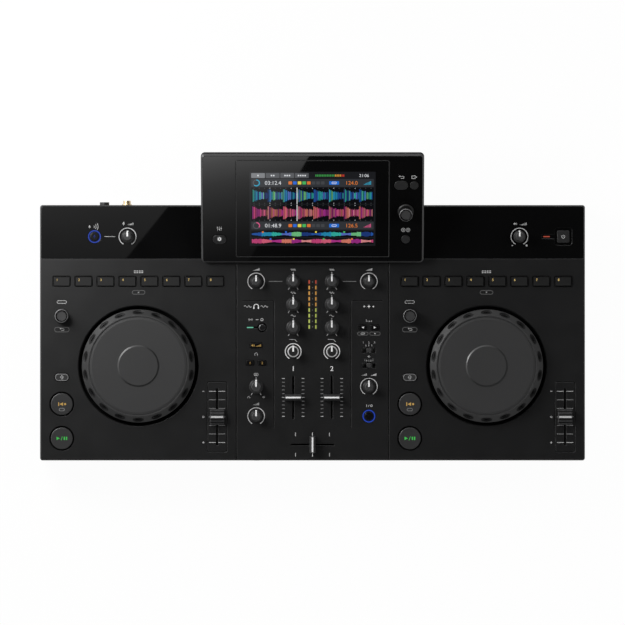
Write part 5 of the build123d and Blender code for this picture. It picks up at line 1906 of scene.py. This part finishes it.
def studio_walls(finish, strength, gleam):
    """Pale walls round a dark ceiling, brighter at the upper left, plain white to the camera."""
    camera, glossy, through = (finish.node("ShaderNodeLightPath", {}, {}, ray) for ray in SEEN_RAYS)
    direction = finish.node("ShaderNodeTexCoord", {}, {}, "Generated")
    rise = finish.axis("Z", direction)
    wall = finish.ramp(rise, [(0.0, 1.0), (0.22, 1.0), (0.62, 0.0)])
    bright = finish.ramp(rise, [(0.0, 0.2), (0.2, 0.3), (0.36, 1.0), (0.6, 1.0), (0.8, 0.0)])
    lean = finish.axis("Y", direction) * GLEAM_WAY[1] + finish.axis("X", direction) * GLEAM_WAY[0]
    mirrored = (glossy + through) * (1.0 - camera)
    others = (1.0 - camera) * (1.0 - mirrored)
    light = camera + mirrored * (wall + bright * lean.limited() * gleam) + others * wall * strength
    shell = finish.node("ShaderNodeBackground", {}, {"Color": light})
    finish.node("ShaderNodeOutputWorld", {}, {"Surface": shell})


def floor_sheet():
    """The floor, a wide round sheet."""
    mesh = bmesh.new()
    rim = [mesh.verts.new((*turned(0.0, 0.0, FLOOR_R, turn), 0.0)) for turn in range(0, 360, 10)]
    mesh.faces.new(reversed(rim))
    floor = finished("floor", mesh, [material("pale_floor", pale_floor)])


def softboxes(eye):
    """The two softbox faces that show in the polished strip and in the screen pod."""
    low, high = box_of("gloss_strip")
    strip = []
    for share, levels in STRIP_GLOW:
        y = low.y + (high.y - low.y) * share
        edge = (STRIP_EDGE[0] + (STRIP_EDGE[1] - STRIP_EDGE[0]) * share) * MM
        strip.append(((low.x * STRIP_REACH, y, high.z), (edge, y, high.z), levels))
    reflected_card("softbox_strip", eye, Vector((0, 0, 1)), strip, studio().card)
    plane = pod_plane()
    normal = (plane.to_3x3() @ Vector((0, 0, 1))).normalized()
    pod = []
    for up, level in POD_GLOW:
        edge = POD_EDGE[0] + (POD_EDGE[1] - POD_EDGE[0]) * (up / POD_HALF + 1) / 2
        left = plane @ Vector((POD_LEFT, up, 0.0))
        pod.append((left, plane @ Vector((edge, up, 0.0)), (level, level * POD_FADE)))
    reflected_card("softbox_pod", eye, normal, pod, studio().pod_card)


def stage():
    """The floor, the light, the studio round them and the camera."""
    scene = bpy.context.scene
    scene.view_settings.view_transform = "Standard"
    settings = studio()
    floor_sheet()
    eye = Vector((0.0, AIM_Y, settings.height))
    softboxes(eye)
    for name, (place, aim, size, shine) in LIGHTS.items():
        area_light(f"{name}_light", place, aim, size, getattr(settings, name), shine)
    world = bpy.data.worlds.new("studio")
    studio_walls(Finish(world), settings.horizon, settings.gleam)
    scene.world = world
    lens = bpy.data.cameras.new("camera")
    lens.lens = settings.lens
    camera = linked("camera", lens)
    camera.location = eye
    scene.camera = camera


# Operators


class PLAYER_OT_case(bpy.types.Operator):
    """Finish the case, the polished strip, the feet and the parts inside"""

    bl_idname = "player.case"
    bl_label = "Case"

    def execute(self, context):
        dress(plastic("case_matte"), "bottom_case")
        # Painted shade in the top plate's grooves, dishes, wells and openings
        parts = {"case": plastic("case_matte"), "groove": plastic("groove")}
        dress_faces("top_case", parts, groove_chooser())
        dress(gloss_black(), "gloss_strip")
        dress(plastic("foot_rubber"), "rubber_feet")
        dress(plastic("part_black"), "potentiometers")
        dress(steel(), "case_screws", "jog_bushes")
        board = material("board", circuit, plastics().board)
        parts = {"board": board, "part": plastic("part_black"), "track": plastic("switch_track")}
        dress_faces("circuit_boards", parts, board_chooser())
        return {"FINISHED"}


class PLAYER_OT_pod(bpy.types.Operator):
    """Finish the screen pod, its buttons and its marks"""

    bl_idname = "player.pod"
    bl_label = "Screen pod"

    def execute(self, context):
        dress(gloss_black(), "touch_screen")
        dress_bezel()
        dress(plastic("case_matte"), "screen_rear_shell")
        dress(plastic("pod_key"), *POD_KEYS)
        dress_selector("browse_knob")
        pod_print()
        pod_symbols()
        return {"FINISHED"}


class PLAYER_OT_picture(bpy.types.Operator):
    """Draw the lit picture on the touch screen"""

    bl_idname = "player.picture"
    bl_label = "Screen picture"

    def execute(self, context):
        screen_picture()
        return {"FINISHED"}


class PLAYER_OT_decks(bpy.types.Operator):
    """Finish the two decks, their jog wheels, pads, buttons and tempo sliders"""

    bl_idname = "player.decks"
    bl_label = "Decks"

    def execute(self, context):
        colours = plastics()
        x, y = spot("jog_plate_right") * MM
        plate = material("jog_plate", spun, colours.plate, (x, y))
        # The tempo caps' treads are painted pale and dark by turns, as light and shade.
        cap = material("tempo_cap", ribbed, colours.cap, spot("tempo_slider_left").y * MM)
        for side in SIDES:
            # The slope round each plate's middle is painted darker as shade.
            parts = {"plate": plate, "bevel": plastic("jog_bevel")}
            dress_faces(f"jog_plate_{side}", parts, bevel_chooser(f"jog_plate_{side}"))
            # The scoops are painted darker as shade, and the rim's flat lip is painted light with
            # the plate's finish.
            parts = {"rim": plastic("jog_rim"), "scoop": plastic("jog_scoop"), "painted_lit_lip": plate}
            dress_faces(f"jog_rim_{side}", parts, scoop_chooser(f"jog_rim_{side}"))
            # The pads' sides are painted near black as shade.
            dress_top(f"pads_{side}", PAD_EDGE_DROP, "pad_rubber", "pad_edge")
            dress_selector(f"loop_knob_{side}")
            for kind in DECK_BUTTONS:
                dress_top(f"{kind}_button_{side}", BUTTON_EDGE_DROP, "deck_button", "button_edge")
            dress(cap, f"tempo_slider_{side}")
            deck_print(side)
            deck_symbols(side)
            pad_numbers(side)
            fader_line(f"tempo_slider_{side}", "pale", *TEMPO_LINE)
        return {"FINISHED"}


class PLAYER_OT_mixer(bpy.types.Operator):
    """Finish the mixer's knobs, faders and keys, with their scales and marks"""

    bl_idname = "player.mixer"
    bl_label = "Mixer"

    def execute(self, context):
        # The knobs' tops are painted lighter than their skirts, as light; the filter knobs' tops
        # stay dark.
        for node in (*DIALS, *CENTRED_KNOBS):
            top = "filter_top" if node.startswith("filter") else "knob_top"
            dress_top(node, KNOB_TOP_DROP, top, "knob_skirt")
        dress(plastic("fader_cap"), "channel_fader_1", "channel_fader_2", "crossfader", *SWITCHES)
        dress(plastic("key_black"), "phones_keys", "beat_keys", "effect_button", "mic_button")
        dress(plastic("pairing_gloss"), "pairing_button")
        dress(plastic("power_key"), "power_button")
        for node in CENTRED_KNOBS:
            pointer(node, TONE_POINTER_W)
        for node in DIALS:
            pointer(node, LEVEL_POINTER_W)
        for channel in CHANNELS:
            painted_ring(f"filter_knob_{channel}")
            fader_line(f"channel_fader_{channel}", "white", *FADER_LINE)
        fader_line("crossfader", "white", *reversed(FADER_LINE))
        mixer_print()
        strip_print()
        key_symbols()
        return {"FINISHED"}


class PLAYER_OT_lamps(bpy.types.Operator):
    """Light the meter, the lamps and the lit rings"""

    bl_idname = "player.lamps"
    bl_label = "Lamps"

    def execute(self, context):
        centres = [tuple(spot(node) * MM) for node in ("mic_button", "effect_button")]
        parts = {f"meter_{name}": meter_finish(name) for name in ("red", "amber", "lime")}
        parts.update({name: bar_finish(name) for name in ("red", "teal")})
        parts["blue"] = material("lit_ring", lit_ring, marks().blue, centres)
        dress_faces("light_pipes", parts, lamp_chooser())
        return {"FINISHED"}


class PLAYER_OT_sockets(bpy.types.Operator):
    """Finish the sockets and print the signs beside them"""

    bl_idname = "player.sockets"
    bl_label = "Sockets"

    def execute(self, context):
        gold = material("gold", plated, plastics().gold, 0.34)
        parts = {"inside": plastic("part_black"), "gold": gold, "steel": steel()}
        dress_faces("sockets", parts, socket_chooser())
        rear_print()
        return {"FINISHED"}


class PLAYER_OT_stage(bpy.types.Operator):
    """Set up the floor, the light and the camera"""

    bl_idname = "player.stage"
    bl_label = "Stage"

    def execute(self, context):
        stage()
        return {"FINISHED"}


OPERATORS = (
    PLAYER_OT_case,
    PLAYER_OT_pod,
    PLAYER_OT_picture,
    PLAYER_OT_decks,
    PLAYER_OT_mixer,
    PLAYER_OT_lamps,
    PLAYER_OT_sockets,
    PLAYER_OT_stage,
)


class PLAYER_PT_steps(bpy.types.Panel):
    """The steps of the dressing, in their order, and their settings"""

    bl_idname = "PLAYER_PT_steps"
    bl_label = "Two-deck player"
    bl_space_type = "VIEW_3D"
    bl_region_type = "UI"
    bl_category = "Player"

    def draw(self, context):
        for operator in OPERATORS:
            self.layout.operator(operator.bl_idname)
        for settings in (plastics(), marks(), studio()):
            column = self.layout.column(align=True)
            for name in settings.__annotations__:
                column.prop(settings, name)


CLASSES = (PlayerPlastics, PlayerMarks, PlayerStudio, *OPERATORS, PLAYER_PT_steps)


def register():
    for item in CLASSES:
        bpy.utils.register_class(item)
    bpy.types.Scene.player_plastics = PointerProperty(type=PlayerPlastics)
    bpy.types.Scene.player_marks = PointerProperty(type=PlayerMarks)
    bpy.types.Scene.player_studio = PointerProperty(type=PlayerStudio)


def unregister():
    del bpy.types.Scene.player_studio
    del bpy.types.Scene.player_marks
    del bpy.types.Scene.player_plastics
    for item in reversed(CLASSES):
        bpy.utils.unregister_class(item)


def main():
    register()
    bpy.ops.player.case()
    bpy.ops.player.pod()
    bpy.ops.player.picture()
    bpy.ops.player.decks()
    bpy.ops.player.mixer()
    bpy.ops.player.lamps()
    bpy.ops.player.sockets()
    bpy.ops.player.stage()


if __name__ == "__main__":
    main()
